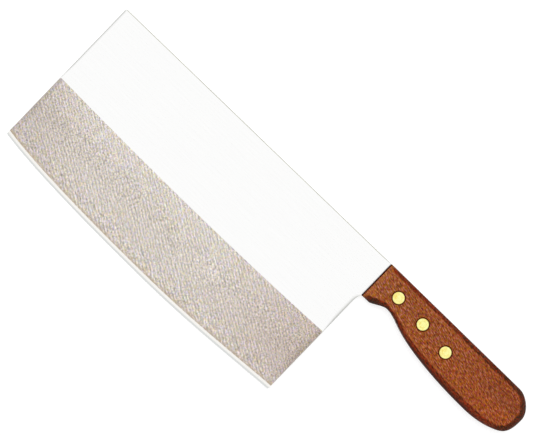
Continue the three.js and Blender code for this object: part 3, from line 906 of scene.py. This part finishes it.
def edge_line(blade):
    """The cutting edge from tip to heel, as x values and y values."""
    heel_x = heel_line(blade)
    belly = Vector((heel_x - blade.belly_from_heel, BELLY_Y))
    ends = ((TIP_X, blade.tip_rise, TIP_TANGENT), (heel_x, blade.heel_rise, HEEL_TANGENT))
    halves = []
    for end_x, rise, tangent in ends:
        run = belly.x - end_x
        start = Vector((end_x, BELLY_Y + rise))
        leaving = start + Vector((run * tangent[0], -rise * tangent[1]))
        arriving = belly - Vector((run * BELLY_TANGENT, 0))
        halves.append(interpolate_bezier(start, leaving, arriving, belly, EDGE_STEPS + 1))
    line = np.array([tuple(point) for point in halves[0] + halves[1][-2::-1]])
    return line[:, 0], line[:, 1]


def grind_height(blade, x):
    """Where the ground face starts, as y."""
    heel_x = heel_line(blade)
    belly_x = heel_x - blade.belly_from_heel
    tip_share = np.clip((belly_x - x) / (belly_x - TIP_X), 0, None)
    heel_share = np.clip((x - belly_x) / (heel_x - belly_x), 0, None)
    rise = blade.grind_tip_rise * tip_share**2 + blade.grind_heel_rise * heel_share**2
    return SPINE_Y - blade.grind_depth + rise


def arc(centre, radius, start, end):
    """Points of a round corner, with both ends. Angles are in quarter turns."""
    turns = np.linspace(start, end, CORNER_STEPS + 1) * math.pi / 2
    return [centre + radius * heading_vector(turn) for turn in turns]


def straight(first, last):
    """Evenly spaced points of a straight stretch, without its ends."""
    steps = max(2, math.ceil((last - first).length / PLATE_STEP))
    return [first.lerp(last, k / steps) for k in range(1, steps)]


def corner_curve(first, corner, last, steps=CORNER_STEPS):
    """Points of a curve that leaves and arrives along the lines to a corner, with both ends."""
    leaving, arriving = first.lerp(corner, CORNER_PULL), last.lerp(corner, CORNER_PULL)
    return interpolate_bezier(first, leaving, arriving, last, steps + 1)


def run_through(*stretches):
    """Points of several stretches in a row, joined by evenly divided straight lines."""
    points = []
    for stretch in stretches:
        if points:
            points += straight(points[-1], stretch[0])
        points += stretch
    return points


def tang_underside(blade, handle):
    """The handle's underside along the tang, from the tang's end to the handle's front end."""
    points, _, _ = handle_outline(handle)
    end_x = TANG_END_X - blade.tang_corner
    under = [point for point in points if point.y < SPINE_Y - handle.nose_depth]
    xs = np.array([point.x for point in under[::-1]])
    ys = np.array([point.y for point in under[::-1]])
    return [Vector((end_x, np.interp(end_x, xs, ys)))] + [point for point in under if point.x < end_x]


def plate_outline(blade, handle):
    """Outline of the blade with its tang, starting at the cutting edge's tip end, and the numbers of the
    points where the strip and the ground face start at the tip and at the heel."""
    edge_x, edge_y = edge_line(blade)
    heel_x = heel_line(blade)
    corner = blade.edge_corner
    tip_in, heel_in = TIP_X + corner, heel_x - corner
    tip_edge_y, heel_edge_y = np.interp((tip_in, heel_in), edge_x, edge_y)
    tip_low = arc(Vector((tip_in, tip_edge_y + corner)), corner, -1, -2)
    tip_strip = Vector((TIP_X, edge_y[0] + blade.strip_height))
    tip_grind = Vector((TIP_X, grind_height(blade, TIP_X)))
    tip_high = arc(Vector((TIP_X + blade.tip_corner, SPINE_Y - blade.tip_corner)), blade.tip_corner, 2, 1)
    front_top = Vector((FRONT_X, SPINE_Y))
    top_slope = handle.top_fall / (BUTT_X - handle.butt_round - FRONT_X)
    tang_in = TANG_END_X - blade.tang_corner
    tang_top_y = SPINE_Y - top_slope * (tang_in - FRONT_X)
    tang_top = Vector((tang_in, tang_top_y))
    tang_high = corner_curve(
        tang_top, Vector((TANG_END_X, tang_top_y)), Vector((TANG_END_X, tang_top_y - blade.tang_corner))
    )
    under = tang_underside(blade, handle)
    tang_low = corner_curve(
        Vector((TANG_END_X, under[0].y + blade.tang_corner)), Vector((TANG_END_X, under[0].y)), under[0]
    )
    neck_y = SPINE_Y - handle.front_height
    neck = corner_curve(
        Vector((FRONT_X, neck_y)),
        Vector((heel_x, neck_y - blade.neck_height * NECK_CORNER)),
        Vector((heel_x, neck_y - blade.neck_height)),
    )
    heel_grind = Vector((heel_x, grind_height(blade, heel_x)))
    heel_strip = Vector((heel_x, edge_y[-1] + blade.strip_height))
    heel_low = arc(Vector((heel_in, heel_edge_y + corner)), corner, 0, -1)
    edge = [Vector((x, y)) for x, y in zip(edge_x[::-1], edge_y[::-1]) if tip_in < x < heel_in]
    points = run_through(
        tip_low, [tip_strip], [tip_grind], tip_high, [front_top], tang_high, tang_low + under[1:-1],
        neck, [heel_grind], [heel_strip], heel_low
    )
    marked = [points.index(point) for point in (tip_strip, tip_grind, heel_grind, heel_strip)]
    return points + edge, marked


def ease_shares(points, marked, blade):
    """How far each point of the plate's outline is eased, from 0 to 1, and how wide: not at all on the
    sharpened strip and along the tang, and fully a little way up the tip and the heel."""
    tip_strip, tip_grind, heel_grind, heel_strip = marked
    shares, widths = [], []
    for number, point in enumerate(points):
        at_heel = point.x > (TIP_X + FRONT_X) / 2 and point.y < SPINE_Y
        low = points[heel_strip if at_heel else tip_strip].y
        reach = np.clip((point.y - low) / EASE_RUN, 0, 1) if tip_strip <= number <= heel_strip else 0.0
        clear_of_wood = np.clip((FRONT_X - point.x) / blade.heel_setback, 0, 1)
        grind_y = points[heel_grind if at_heel else tip_grind].y
        above_grind = np.clip((point.y - grind_y) / EASE_RUN, 0, 1)
        full = blade.ease_width
        if at_heel or point.x == TIP_X:
            full = blade.choil_width if at_heel else blade.tip_ease_width
        width = blade.ease_width + (full - blade.ease_width) * above_grind
        shares.append(reach * clear_of_wood)
        widths.append(shares[-1] * width)
    return shares, widths


# Pieces


def new_piece(name, mesh):
    piece = bpy.data.objects.new(name, mesh)
    bpy.context.scene.collection.objects.link(piece)
    return piece


def mesh_from(name, points, faces):
    mesh = bpy.data.meshes.new(name)
    mesh.from_pydata([tuple(point) for point in points], [], faces)
    mesh.update()
    return mesh


def store(mesh, name, values, kind="FLOAT", domain="POINT"):
    """Keeps one value for each point or face of a mesh."""
    mesh.attributes.new(name, kind, domain).data.foreach_set("value", np.ascontiguousarray(values))


def settle(piece):
    """Turns a piece with modifiers into a plain mesh."""
    depsgraph = bpy.context.evaluated_depsgraph_get()
    rough = piece.data
    piece.data = bpy.data.meshes.new_from_object(
        piece.evaluated_get(depsgraph), preserve_all_data_layers=True, depsgraph=depsgraph
    )
    piece.modifiers.clear()
    piece.data.name = piece.name
    bpy.data.meshes.remove(rough)


def shape_with(piece, tree, values):
    """Puts a Geometry Nodes tree on a piece with its inputs, and turns the result into a plain mesh."""
    modifier = piece.modifiers.new(tree.name, "NODES")
    modifier.node_group = tree
    sockets = [item for item in tree.interface.items_tree if item.in_out == "INPUT"]
    for socket in sockets:
        if socket.name in values:
            modifier[socket.identifier] = values[socket.name]
    settle(piece)


def shade(mesh, sharp_angle):
    """Smooth shading, with sharp edges between finishes and past an angle."""
    work = bmesh.new()
    work.from_mesh(mesh)
    for face in work.faces:
        face.smooth = True
    for edge in work.edges:
        finishes = {face.material_index for face in edge.link_faces}
        edge.smooth = len(finishes) == 1 and edge.calc_face_angle(0) < sharp_angle
    work.to_mesh(mesh)
    work.free()


def rivet_centres():
    """Middle of each rivet, from its male half."""
    boxes = [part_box(f"{name}_rivet_male") for name in RIVET_NAMES]
    return [Vector(((low.x + high.x) / 2, (low.y + high.y) / 2, MIDDLE_Z)) for low, high in boxes]


SheetLines = namedtuple("SheetLines", "places eases ends links loops")


def plate_lines(blade, handle):
    """Lines that divide the blade's sheet: the rings of the easing along the outline, the upper borders of
    the ground face and of the strip, and the rivet holes. Each place on a ring says how much of the easing
    it takes, and whether that is at the tip or the heel. The loops are the outline and the holes."""
    points, marked = plate_outline(blade, handle)
    tip_strip, tip_grind, heel_grind, heel_strip = marked
    normals = inward_normals(points)
    shares, widths = ease_shares(points, marked, blade)
    count = len(points)
    places, eases, ends, links = [], [], [], []
    for inset, drop in EASE_RINGS:
        start = len(places)
        places += [point + normal * width * inset for point, normal, width in zip(points, normals, widths)]
        eases += [drop * part for part in shares]
        ends += [min(1.0, abs(normal.x)) for normal in normals]
        links += [(start + k, start + (k + 1) % count) for k in range(count)]
    inner_x, inner_y = (values[EDGE_MARGIN:-EDGE_MARGIN] for values in edge_line(blade))
    borders = (
        (tip_grind, heel_grind, grind_height(blade, inner_x)),
        (tip_strip, heel_strip, inner_y + blade.strip_height),
    )
    rings = range(len(EASE_RINGS))
    for tip_end, heel_end, heights in borders:
        start = len(places)
        places += [Vector(pair) for pair in zip(inner_x, heights)]
        row = [ring * count + tip_end for ring in rings] + list(range(start, len(places)))
        row += [ring * count + heel_end for ring in reversed(rings)]
        links += list(zip(row, row[1:]))
    loops = [list(reversed(range(count)))]
    for centre in rivet_centres():
        start = len(places)
        places += [centre.xy + blade.rivet_hole / 2 * heading_vector(turn) for turn in ROUND_TURNS]
        loops.append(list(range(start, len(places))))
    return SheetLines(places, eases, ends, links, loops)


def ground_depth(blade, x, y):
    """How far the blade is ground: 0 on the flat, 1 where the strip starts and 2 at the edge."""
    strip_y = np.interp(x, *edge_line(blade)) + blade.strip_height
    grind_y = grind_height(blade, np.clip(x, TIP_X, heel_line(blade)))
    depth = np.clip((grind_y - y) / (grind_y - strip_y), 0, 1)
    return depth + np.clip((strip_y - y) / blade.strip_height, 0, 1)


def plate_sheet(blade, handle):
    """The blade's outline as a flat sheet of triangles, divided along the ground face and the strip. Each
    point says how far it is ground, how much of the easing it takes, and whether that is at the tip or the
    heel. Each face says which finish it belongs to."""
    lines = plate_lines(blade, handle)
    corners, _, faces, sources, _, origins = delaunay_2d_cdt(
        lines.places, lines.links, lines.loops, 0, MERGE_DISTANCE, True
    )
    spots = np.array([tuple(corner) for corner in corners])
    inside = [0.0] * (len(lines.places) - len(lines.eases))
    ease, end = (
        np.array([max((values[source] for source in found), default=0.0) for found in sources])
        for values in (lines.eases + inside, lines.ends + inside)
    )
    ground = ground_depth(blade, spots[:, 0], spots[:, 1])
    kept, regions = [], []
    for face, origin in zip(faces, origins):
        if origin != [0]:
            continue
        depth = ground[list(face)].mean()
        region = FLAT if depth < FLAT_LIMIT else GROUND if depth < 1 else STRIP
        kept.append(face)
        regions.append(EDGES if ease[list(face)].max() > 0 else region)
    mesh = mesh_from("blade_sheet", [(x, y, 0.0) for x, y in spots], kept)
    store(mesh, "ground", ground)
    store(mesh, "ease", ease)
    store(mesh, "end", end)
    store(mesh, "region", regions, "INT", "FACE")
    return mesh


def joined(tree, first, second):
    both = add(tree, "GeometryNodeJoinGeometry", {"Geometry": first})
    tree.links.new(second, both.inputs["Geometry"])
    return both.outputs[0]


def extruded(tree, mesh):
    """Outputs of a whole mesh's extrusion, whose top is still to be moved."""
    inputs = {"Mesh": mesh, "Offset Scale": 0.0, "Individual": False}
    return add(tree, "GeometryNodeExtrudeMesh", inputs).outputs


def closed_shell(tree, base, grown):
    """What was extruded from a base, closed by the base turned over."""
    back = add(tree, "GeometryNodeFlipFaces", {"Mesh": base}).outputs[0]
    shell = {"Geometry": joined(tree, back, grown), "Distance": MERGE_DISTANCE}
    return add(tree, "GeometryNodeMergeByDistance", shell).outputs[0]


def ground_plate_tree():
    """Geometry Nodes: gives a flat sheet the blade's ground cross-section and its finishes."""
    floats = ("Thickness", "Strip Thickness", "Edge Land", "Ease", "Middle")
    inputs = [("Sheet", "NodeSocketGeometry")]
    inputs += [(name, "NodeSocketFloat") for name in floats]
    inputs += [(name, "NodeSocketMaterial") for name in FINISHES]
    outputs = (("Plate", "NodeSocketGeometry"),)
    tree, given, out = new_group("Ground Plate", "GeometryNodeTree", inputs, outputs)
    named = {}
    for name, kind in (("ground", "FLOAT"), ("ease", "FLOAT"), ("region", "INT")):
        found = add(tree, "GeometryNodeInputNamedAttribute", {"Name": name}, data_type=kind)
        named[name] = found.outputs["Attribute"]
    face_part = ranged(tree, named["ground"], 0.0, 1.0, given["Thickness"], given["Strip Thickness"])
    strip_loss = calc(tree, "SUBTRACT", given["Strip Thickness"], given["Edge Land"])
    strip_part = ranged(tree, named["ground"], 1.0, 2.0, 0.0, strip_loss)
    thickness = calc(tree, "SUBTRACT", face_part, strip_part)
    half = calc(tree, "MULTIPLY", thickness, 0.5)
    half = calc(tree, "SUBTRACT", half, calc(tree, "MULTIPLY", named["ease"], given["Ease"]))
    lower = triple(tree, 0.0, 0.0, calc(tree, "SUBTRACT", given["Middle"], half))
    rise = triple(tree, 0.0, 0.0, calc(tree, "MULTIPLY", half, 2.0))
    sheet = add(tree, "GeometryNodeSetPosition", {"Geometry": given["Sheet"], "Offset": lower}).outputs[0]
    grown = extruded(tree, sheet)
    raised = {"Geometry": grown["Mesh"], "Selection": grown["Top"], "Offset": rise}
    plate = closed_shell(tree, sheet, add(tree, "GeometryNodeSetPosition", raised).outputs[0])
    plate = add(tree, "GeometryNodeRealizeInstances", {"Geometry": plate}).outputs[0]
    for number, name in enumerate(FINISHES):
        chosen = calc(tree, "COMPARE", named["region"], float(number), REGION_TOLERANCE)
        finish = {"Geometry": plate, "Selection": chosen, "Material": given[name]}
        plate = add(tree, "GeometryNodeSetMaterial", finish).outputs[0]
    walls = {"Geometry": plate, "Selection": grown["Side"], "Material": given[FINISHES[EDGES]]}
    plate = add(tree, "GeometryNodeSetMaterial", walls).outputs[0]
    tree.links.new(plate, out["Plate"])
    return tree


def rim_section(width, handle):
    """Section of the handle's rim as insets and heights over the middle plane, from the side to the face. The
    line between rim and face is softened, and the face beside it has a paler line of wear and painted
    highlight. Each point says how far it takes that paler line, how far it belongs to the rim, and how far it
    belongs to the rim's outer part, where shade is painted along the underside."""
    half = HANDLE_THICKNESS / 2
    radius = width / (1 - math.cos(RIM_TURN))
    drop = min(radius * math.sin(RIM_TURN), half - handle.side_land / 2)
    soft = min(handle.rim_soft, width / 2)
    last = RIM_TURN - soft / radius
    section = []
    for k in range(RIM_STEPS + 1):
        turn = last * k / RIM_STEPS
        height = half - drop * (1 - math.sin(turn) / math.sin(RIM_TURN))
        outer = np.interp(k / RIM_STEPS, RIM_OUTER, (1.0, 0.0))
        section.append((radius * (1 - math.cos(turn)), height, 0.0, 1.0, outer))
    start, crease, end = Vector(section[-1][:2]), Vector((width, half)), Vector((width + soft, half))
    for k, point in enumerate(corner_curve(start, crease, end, SOFT_STEPS)[1:], 1):
        section.append((point.x, point.y, k / SOFT_STEPS, 1 - k / SOFT_STEPS, 0.0))
    section.append((width + soft + handle.wear_and_highlight_width, half, 0.0, 0.0, 0.0))
    return section


def handle_blank(handle):
    """The handle's body before it is sawn and drilled."""
    points, rims, stains_and_shade = handle_outline(handle)
    normals = inward_normals(points)
    normals[0], normals[-1] = Vector((0, -1)), Vector((0, 1))
    spread = spread_normals(normals)
    spread[0], spread[-1] = normals[0], normals[-1]
    sections = [rim_section(width, handle) for width in rims]
    levels = [(level, -1) for level in reversed(range(len(sections[0])))]
    levels += [(level, 1) for level in range(len(sections[0]))]
    places, looks = [], []
    for level, side in levels:
        for point, normal, section, stain in zip(points, spread, sections, stains_and_shade):
            inset, height, wear_and_highlight, rim, outer = section[level]
            spot = point + normal * inset
            places.append((spot.x, spot.y, MIDDLE_Z + side * height))
            # the third value is painted shade on the rim's outer part along the underside; the fourth is
            # blackening by dirt and painted shade
            looks.append((wear_and_highlight * (1 - stain), rim, outer * max(0.0, normal.y), stain))
    count = len(points)
    faces = [tuple(range(count)), tuple(reversed(range(len(places) - count, len(places))))]
    starts = [ring * count for ring in range(len(levels))]
    for start in starts[:-1]:
        for this in range(start, start + count - 1):
            faces.append((this, this + count, this + count + 1, this + 1))
    faces.append(tuple(start + count - 1 for start in starts) + tuple(reversed(starts)))
    mesh = mesh_from("handle", places, faces)
    for name, values in zip(("wear_and_highlight", "rim", "shade", "stain"), np.array(looks).T):
        store(mesh, name, values)
    return mesh


def turned_solid(profile, centre):
    """Points and faces of a closed turned solid about an upright line, from (radius, height) pairs."""
    places, faces = [], []
    for radius, height in profile:
        ring = [centre.xy + radius * heading_vector(turn) for turn in ROUND_TURNS]
        places += [(spot.x, spot.y, centre.z + height) for spot in ring]
    for level in range(len(profile) - 1):
        for k in range(ROUND_SEGMENTS):
            this = level * ROUND_SEGMENTS + k
            following = level * ROUND_SEGMENTS + (k + 1) % ROUND_SEGMENTS
            faces.append((this, following, following + ROUND_SEGMENTS, this + ROUND_SEGMENTS))
    top = (len(profile) - 1) * ROUND_SEGMENTS
    faces.append(tuple(reversed(range(ROUND_SEGMENTS))))
    faces.append(tuple(range(top, top + ROUND_SEGMENTS)))
    return places, faces


def kerf_cutter(handle):
    """Saw kerf that takes the tang, open at the front end, the top edge and the underside."""
    low_x, high_x = FRONT_X - CUT_MARGIN, TANG_END_X + handle.kerf_end_clearance
    low_y, high_y = SWELL_Y - CUT_MARGIN, SPINE_Y + CUT_MARGIN
    half = BLADE_THICKNESS / 2 + handle.kerf_clearance
    corners = [(low_x, low_y), (high_x, low_y), (high_x, high_y), (low_x, high_y)]
    places = [(x, y, MIDDLE_Z + z) for z in (-half, half) for x, y in corners]
    faces = [(3, 2, 1, 0), (4, 5, 6, 7)] + [(k, (k + 1) % 4, 4 + (k + 1) % 4, 4 + k) for k in range(4)]
    return new_piece("kerf_cutter", mesh_from("kerf_cutter", places, faces))


def bore_cutter(handle):
    """Stepped holes for the rivets: a bore with a seat for a head at each side."""
    past = HANDLE_THICKNESS / 2 + CUT_MARGIN
    mouth = HANDLE_THICKNESS / 2 - handle.counterbore_ease
    seat = HANDLE_THICKNESS / 2 - handle.counterbore_depth
    wide, narrow = handle.counterbore / 2, handle.bore / 2
    flare = wide + past - mouth
    half_profile = ((narrow, seat), (wide, seat), (wide, mouth), (flare, past))
    profile = [(radius, -height) for radius, height in reversed(half_profile)] + list(half_profile)
    places, faces = [], []
    for centre in rivet_centres():
        more_places, more_faces = turned_solid(profile, centre)
        faces += [tuple(len(places) + corner for corner in face) for face in more_faces]
        places += more_places
    return new_piece("bore_cutter", mesh_from("bore_cutter", places, faces))


def turned_chain(tree, disc, profile):
    """Nodes that grow a disc of radius 1 into a closed turned solid, through (radius, height) pairs."""
    position = add(tree, "GeometryNodeInputPosition").outputs[0]
    outward = vector_calc(tree, "NORMALIZE", vector_calc(tree, "MULTIPLY", position, (1.0, 1.0, 0.0)))
    spots = []
    for radius, height in profile:
        reach = add(tree, "ShaderNodeVectorMath", {0: outward, "Scale": radius}, operation="SCALE").outputs[0]
        spots.append(vector_calc(tree, "ADD", reach, triple(tree, 0.0, 0.0, height)))
    base = add(tree, "GeometryNodeSetPosition", {"Geometry": disc, "Position": spots[0]}).outputs[0]
    grown = base
    for spot in spots[1:]:
        step = extruded(tree, grown)
        moved = {"Geometry": step["Mesh"], "Selection": step["Top"], "Position": spot}
        grown = add(tree, "GeometryNodeSetPosition", moved).outputs[0]
    return closed_shell(tree, base, grown)


def rivet_tree():
    """Geometry Nodes: a two-part rivet at each point. The shank of the male half, with its head up, stands in
    the tube of the female half, with its head down."""
    floats = ("Half Length", "Head Diameter", "Head Height", "Tube", "Shank")
    floats += ("Shank Clearance", "End Clearance", "Chamfer")
    inputs = [("Places", "NodeSocketGeometry")]
    inputs += [(name, "NodeSocketFloat") for name in floats] + [("Brass", "NodeSocketMaterial")]
    outputs = (("Rivets", "NodeSocketGeometry"),)
    tree, given, out = new_group("Cutler Rivets", "GeometryNodeTree", inputs, outputs)
    face = given["Half Length"]
    seat = calc(tree, "SUBTRACT", face, given["Head Height"])
    end = calc(tree, "SUBTRACT", seat, given["End Clearance"])
    edge = calc(tree, "SUBTRACT", face, given["Chamfer"])
    head = calc(tree, "MULTIPLY", given["Head Diameter"], 0.5)
    face_radius = calc(tree, "SUBTRACT", head, given["Chamfer"])
    tube = calc(tree, "MULTIPLY", given["Tube"], 0.5)
    shank = calc(tree, "MULTIPLY", given["Shank"], 0.5)
    bore = calc(tree, "ADD", shank, given["Shank Clearance"])
    down = {name: calc(tree, "MULTIPLY", value, -1.0)
            for name, value in (("face", face), ("edge", edge), ("seat", seat), ("end", end))}
    circle = {"Vertices": ROUND_SEGMENTS, "Radius": 1.0}
    disc = add(tree, "GeometryNodeMeshCircle", circle, fill_type="NGON").outputs[0]
    male = turned_chain(
        tree, disc, ((shank, down["end"]), (shank, seat), (head, seat), (head, edge), (face_radius, face))
    )
    female = turned_chain(
        tree, disc,
        ((face_radius, down["face"]), (head, down["edge"]), (head, down["seat"]), (tube, down["seat"]),
         (tube, end), (bore, end), (bore, down["seat"]))
    )
    copies = {"Points": given["Places"], "Instance": joined(tree, male, female)}
    placed = add(tree, "GeometryNodeInstanceOnPoints", copies).outputs[0]
    centre = add(tree, "GeometryNodeInputPosition").outputs[0]
    kept = {"Geometry": placed, "Name": "rivet_centre", "Value": centre}
    placed = add(
        tree, "GeometryNodeStoreNamedAttribute", kept, data_type="FLOAT_VECTOR", domain="INSTANCE"
    ).outputs[0]
    made = add(tree, "GeometryNodeRealizeInstances", {"Geometry": placed}).outputs[0]
    made = add(tree, "GeometryNodeSetMaterial", {"Geometry": made, "Material": given["Brass"]}).outputs[0]
    tree.links.new(made, out["Rivets"])
    return tree


class CLEAVER_OT_make_blade(bpy.types.Operator):
    """Make the ground blade with its tang"""

    bl_idname = "cleaver.make_blade"
    bl_label = "Make Blade"

    def execute(self, context):
        blade = context.scene.cleaver_blade
        piece = new_piece("blade_plate", plate_sheet(blade, context.scene.cleaver_handle))
        values = {
            "Thickness": BLADE_THICKNESS,
            "Strip Thickness": blade.strip_thickness,
            "Edge Land": blade.edge_land,
            "Ease": blade.ease_depth,
            "Middle": MIDDLE_Z,
        }
        finishes = (polished_flat(blade), ground_face(blade), sharpened_strip(blade), plate_edges(blade))
        values.update(zip(FINISHES, finishes))
        shape_with(piece, ground_plate_tree(), values)
        shade(piece.data, BLADE_SHARP)
        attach(piece, "root")
        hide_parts("blade")
        return {"FINISHED"}


class CLEAVER_OT_make_handle(bpy.types.Operator):
    """Make the slotted wooden handle"""

    bl_idname = "cleaver.make_handle"
    bl_label = "Make Handle"

    def execute(self, context):
        handle = context.scene.cleaver_handle
        piece = new_piece("wooden_handle", handle_blank(handle))
        piece.data.materials.append(handle_wood(handle))
        bare = cut_wood(handle)
        cutters = (kerf_cutter(handle), bore_cutter(handle))
        for cutter in cutters:
            cutter.data.materials.append(bare)
            cut = piece.modifiers.new(cutter.name, "BOOLEAN")
            cut.operation = "DIFFERENCE"
            cut.solver = "EXACT"
            cut.material_mode = "TRANSFER"
            cut.object = cutter
        settle(piece)
        bare_slot = piece.data.materials.find(bare.name)
        for polygon in piece.data.polygons:
            if polygon.normal.x < SAWN_END_FACING:
                polygon.material_index = bare_slot
        for cutter in cutters:
            bpy.data.meshes.remove(cutter.data)
        piece.data.shade_smooth()
        piece.data.set_sharp_from_angle(angle=HANDLE_SHARP)
        weighted = piece.modifiers.new("even_faces", "WEIGHTED_NORMAL")
        weighted.keep_sharp = True
        settle(piece)
        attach(piece, "root")
        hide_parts("handle")
        return {"FINISHED"}


class CLEAVER_OT_make_rivets(bpy.types.Operator):
    """Make the brass rivets"""

    bl_idname = "cleaver.make_rivets"
    bl_label = "Make Rivets"

    def execute(self, context):
        rivet = context.scene.cleaver_rivets
        low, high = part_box(RIVET_NODES[0])
        piece = new_piece("rivets", mesh_from("rivet_places", rivet_centres(), []))
        values = {
            "Half Length": HANDLE_THICKNESS / 2,
            "Head Diameter": high.x - low.x,
            "Head Height": rivet.head_height,
            "Tube": rivet.tube,
            "Shank": rivet.shank,
            "Shank Clearance": rivet.shank_clearance,
            "End Clearance": rivet.end_clearance,
            "Chamfer": rivet.chamfer,
            "Brass": rivet_brass(rivet, high.x - low.x),
        }
        shape_with(piece, rivet_tree(), values)
        shade(piece.data, RIVET_SHARP)
        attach(piece, "root")
        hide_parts(*RIVET_NODES)
        return {"FINISHED"}


# Stage


def seen_directly(tree):
    """1 for rays from the camera, and for mirrored and refracted ones, which show the white surroundings."""
    path = add(tree, "ShaderNodeLightPath").outputs
    either = calc(tree, "MAXIMUM", path["Is Camera Ray"], path["Is Glossy Ray"])
    return calc(tree, "MAXIMUM", either, path["Is Transmission Ray"])


def floor_surface(stage):
    """Pale floor that the camera sees as white, and that keeps a soft shadow. It is clear from below."""
    material, tree = new_material("floor_surface")
    place = object_coordinates(tree)
    clouds = marks(tree, place, FLOOR_MARKS)
    colour = blended(tree, clouds, stage.floor_tint, dimmed(stage.floor_tint, FLOOR_MARKED))
    plain = add(tree, "ShaderNodeBsdfDiffuse", {"Color": colour}).outputs[0]
    strength = calc(tree, "MULTIPLY", seen_directly(tree), stage.floor_glow)
    glow = add(tree, "ShaderNodeEmission", {"Strength": strength}).outputs[0]
    lit = add(tree, "ShaderNodeAddShader", {0: plain, 1: glow}).outputs[0]
    clear = add(tree, "ShaderNodeBsdfTransparent").outputs[0]
    below = add(tree, "ShaderNodeNewGeometry").outputs["Backfacing"]
    shader = add(tree, "ShaderNodeMixShader", {0: below, 1: lit, 2: clear}).outputs[0]
    add(tree, "ShaderNodeOutputMaterial", {"Surface": shader})
    return material


def resting_points(blade, handle):
    """The three places where the knife touches what it lies on: two at the tip and one at the front lip."""
    _, edge_y = edge_line(blade)
    strip = Vector((TIP_X, edge_y[0] + blade.strip_height, MIDDLE_Z - blade.strip_thickness / 2))
    flat = Vector((TIP_X, grind_height(blade, TIP_X), BLADE_LOW.z))
    lip = Vector((FRONT_X, SPINE_Y - handle.front_height + handle.rim_lip, HANDLE_LOW.z))
    return strip, flat, lip


def make_floor(scene):
    """Floor through the three places where the knife touches it."""
    strip, flat, lip = resting_points(scene.cleaver_blade, scene.cleaver_handle)
    up = (flat - strip).cross(lip - strip).normalized()
    up = up if up.z > 0 else -up
    corners = [(x * FLOOR_HALF_WIDTH, y * FLOOR_HALF_WIDTH) for x, y in SQUARE]
    heights = [lip.z - (up.x * (x - lip.x) + up.y * (y - lip.y)) / up.z for x, y in corners]
    places = [(x, y, z) for (x, y), z in zip(corners, heights)]
    floor = new_piece("floor", mesh_from("floor", places, [(0, 1, 2, 3)]))
    floor.data.materials.append(floor_surface(scene.cleaver_stage))


def make_surroundings(stage):
    """World that is white to the eye, white above a grey horizon in reflections, and a soft light to the
    rest."""
    world = bpy.data.worlds.new("white_surroundings")
    world.use_nodes = True
    tree = world.node_tree
    tree.nodes.clear()
    strength = ranged(tree, seen_directly(tree), 0.0, 1.0, stage.fill_level, 1.0)
    height = axes(tree, object_coordinates(tree))["Z"]
    mirrored = ranged(tree, height, 0.0, stage.horizon_height, stage.horizon_level, 1.0)
    in_mirror = add(tree, "ShaderNodeLightPath").outputs["Is Glossy Ray"]
    strength = calc(tree, "MULTIPLY", strength, ranged(tree, in_mirror, 0.0, 1.0, 1.0, mirrored))
    shader = add(tree, "ShaderNodeBackground", {"Color": (1.0, 1.0, 1.0, 1.0), "Strength": strength})
    add(tree, "ShaderNodeOutputWorld", {"Surface": shader.outputs[0]})
    bpy.context.scene.world = world


def make_key_lamp(stage):
    """Broad lamp high above, leaning towards the top of the picture."""
    light = bpy.data.lights.new("key_lamp", "SUN")
    light.energy = math.pi * stage.key_level / math.cos(stage.key_tilt)
    light.angle = stage.key_spread
    lamp = new_piece("key_lamp", light)
    picture_up = Vector((-math.sin(stage.camera_roll), math.cos(stage.camera_roll), 0))
    towards = Vector((0, 0, math.cos(stage.key_tilt))) + picture_up * math.sin(stage.key_tilt)
    lamp.rotation_euler = towards.to_track_quat("Z", "Y").to_euler()
    lamp.visible_glossy = False


def make_camera(scene, stage):
    view = bpy.data.cameras.new("camera")
    view.lens = view.sensor_width * stage.camera_distance / stage.view_width
    camera = new_piece("camera", view)
    camera.location = (stage.view_x, stage.view_y, MIDDLE_Z + stage.camera_distance)
    camera.rotation_euler = (0, 0, stage.camera_roll)
    scene.camera = camera


class CLEAVER_OT_make_stage(bpy.types.Operator):
    """Make the floor, the light and the camera"""

    bl_idname = "cleaver.make_stage"
    bl_label = "Make Stage"

    def execute(self, context):
        scene = context.scene
        stage = scene.cleaver_stage
        make_floor(scene)
        make_surroundings(stage)
        make_key_lamp(stage)
        make_camera(scene, stage)
        scene.view_settings.view_transform = "Standard"
        return {"FINISHED"}


class CLEAVER_PT_sidebar(bpy.types.Panel):
    """Sizes, colours and making of the cleaver"""

    bl_label = "Chinese Cleaver"
    bl_space_type = "VIEW_3D"
    bl_region_type = "UI"
    bl_category = "Cleaver"

    def draw(self, context):
        scene = context.scene
        parts = (
            ("cleaver.make_blade", scene.cleaver_blade),
            ("cleaver.make_handle", scene.cleaver_handle),
            ("cleaver.make_rivets", scene.cleaver_rivets),
            ("cleaver.make_stage", scene.cleaver_stage),
        )
        for operator, settings in parts:
            box = self.layout.box()
            box.operator(operator)
            for name in settings.__annotations__:
                box.prop(settings, name)


SETTINGS = (
    ("cleaver_blade", BladeSettings),
    ("cleaver_handle", HandleSettings),
    ("cleaver_rivets", RivetSettings),
    ("cleaver_stage", StageSettings),
)
OPERATORS = (CLEAVER_OT_make_blade, CLEAVER_OT_make_handle, CLEAVER_OT_make_rivets, CLEAVER_OT_make_stage)


def register():
    for name, settings in SETTINGS:
        bpy.utils.register_class(settings)
        setattr(bpy.types.Scene, name, PointerProperty(type=settings))
    for operator in OPERATORS:
        bpy.utils.register_class(operator)
    bpy.utils.register_class(CLEAVER_PT_sidebar)


def unregister():
    bpy.utils.unregister_class(CLEAVER_PT_sidebar)
    for operator in reversed(OPERATORS):
        bpy.utils.unregister_class(operator)
    for name, settings in reversed(SETTINGS):
        delattr(bpy.types.Scene, name)
        bpy.utils.unregister_class(settings)


def main():
    register()
    bpy.ops.cleaver.make_stage()
    bpy.ops.cleaver.make_blade()
    bpy.ops.cleaver.make_handle()
    bpy.ops.cleaver.make_rivets()


if __name__ == "__main__":
    main()
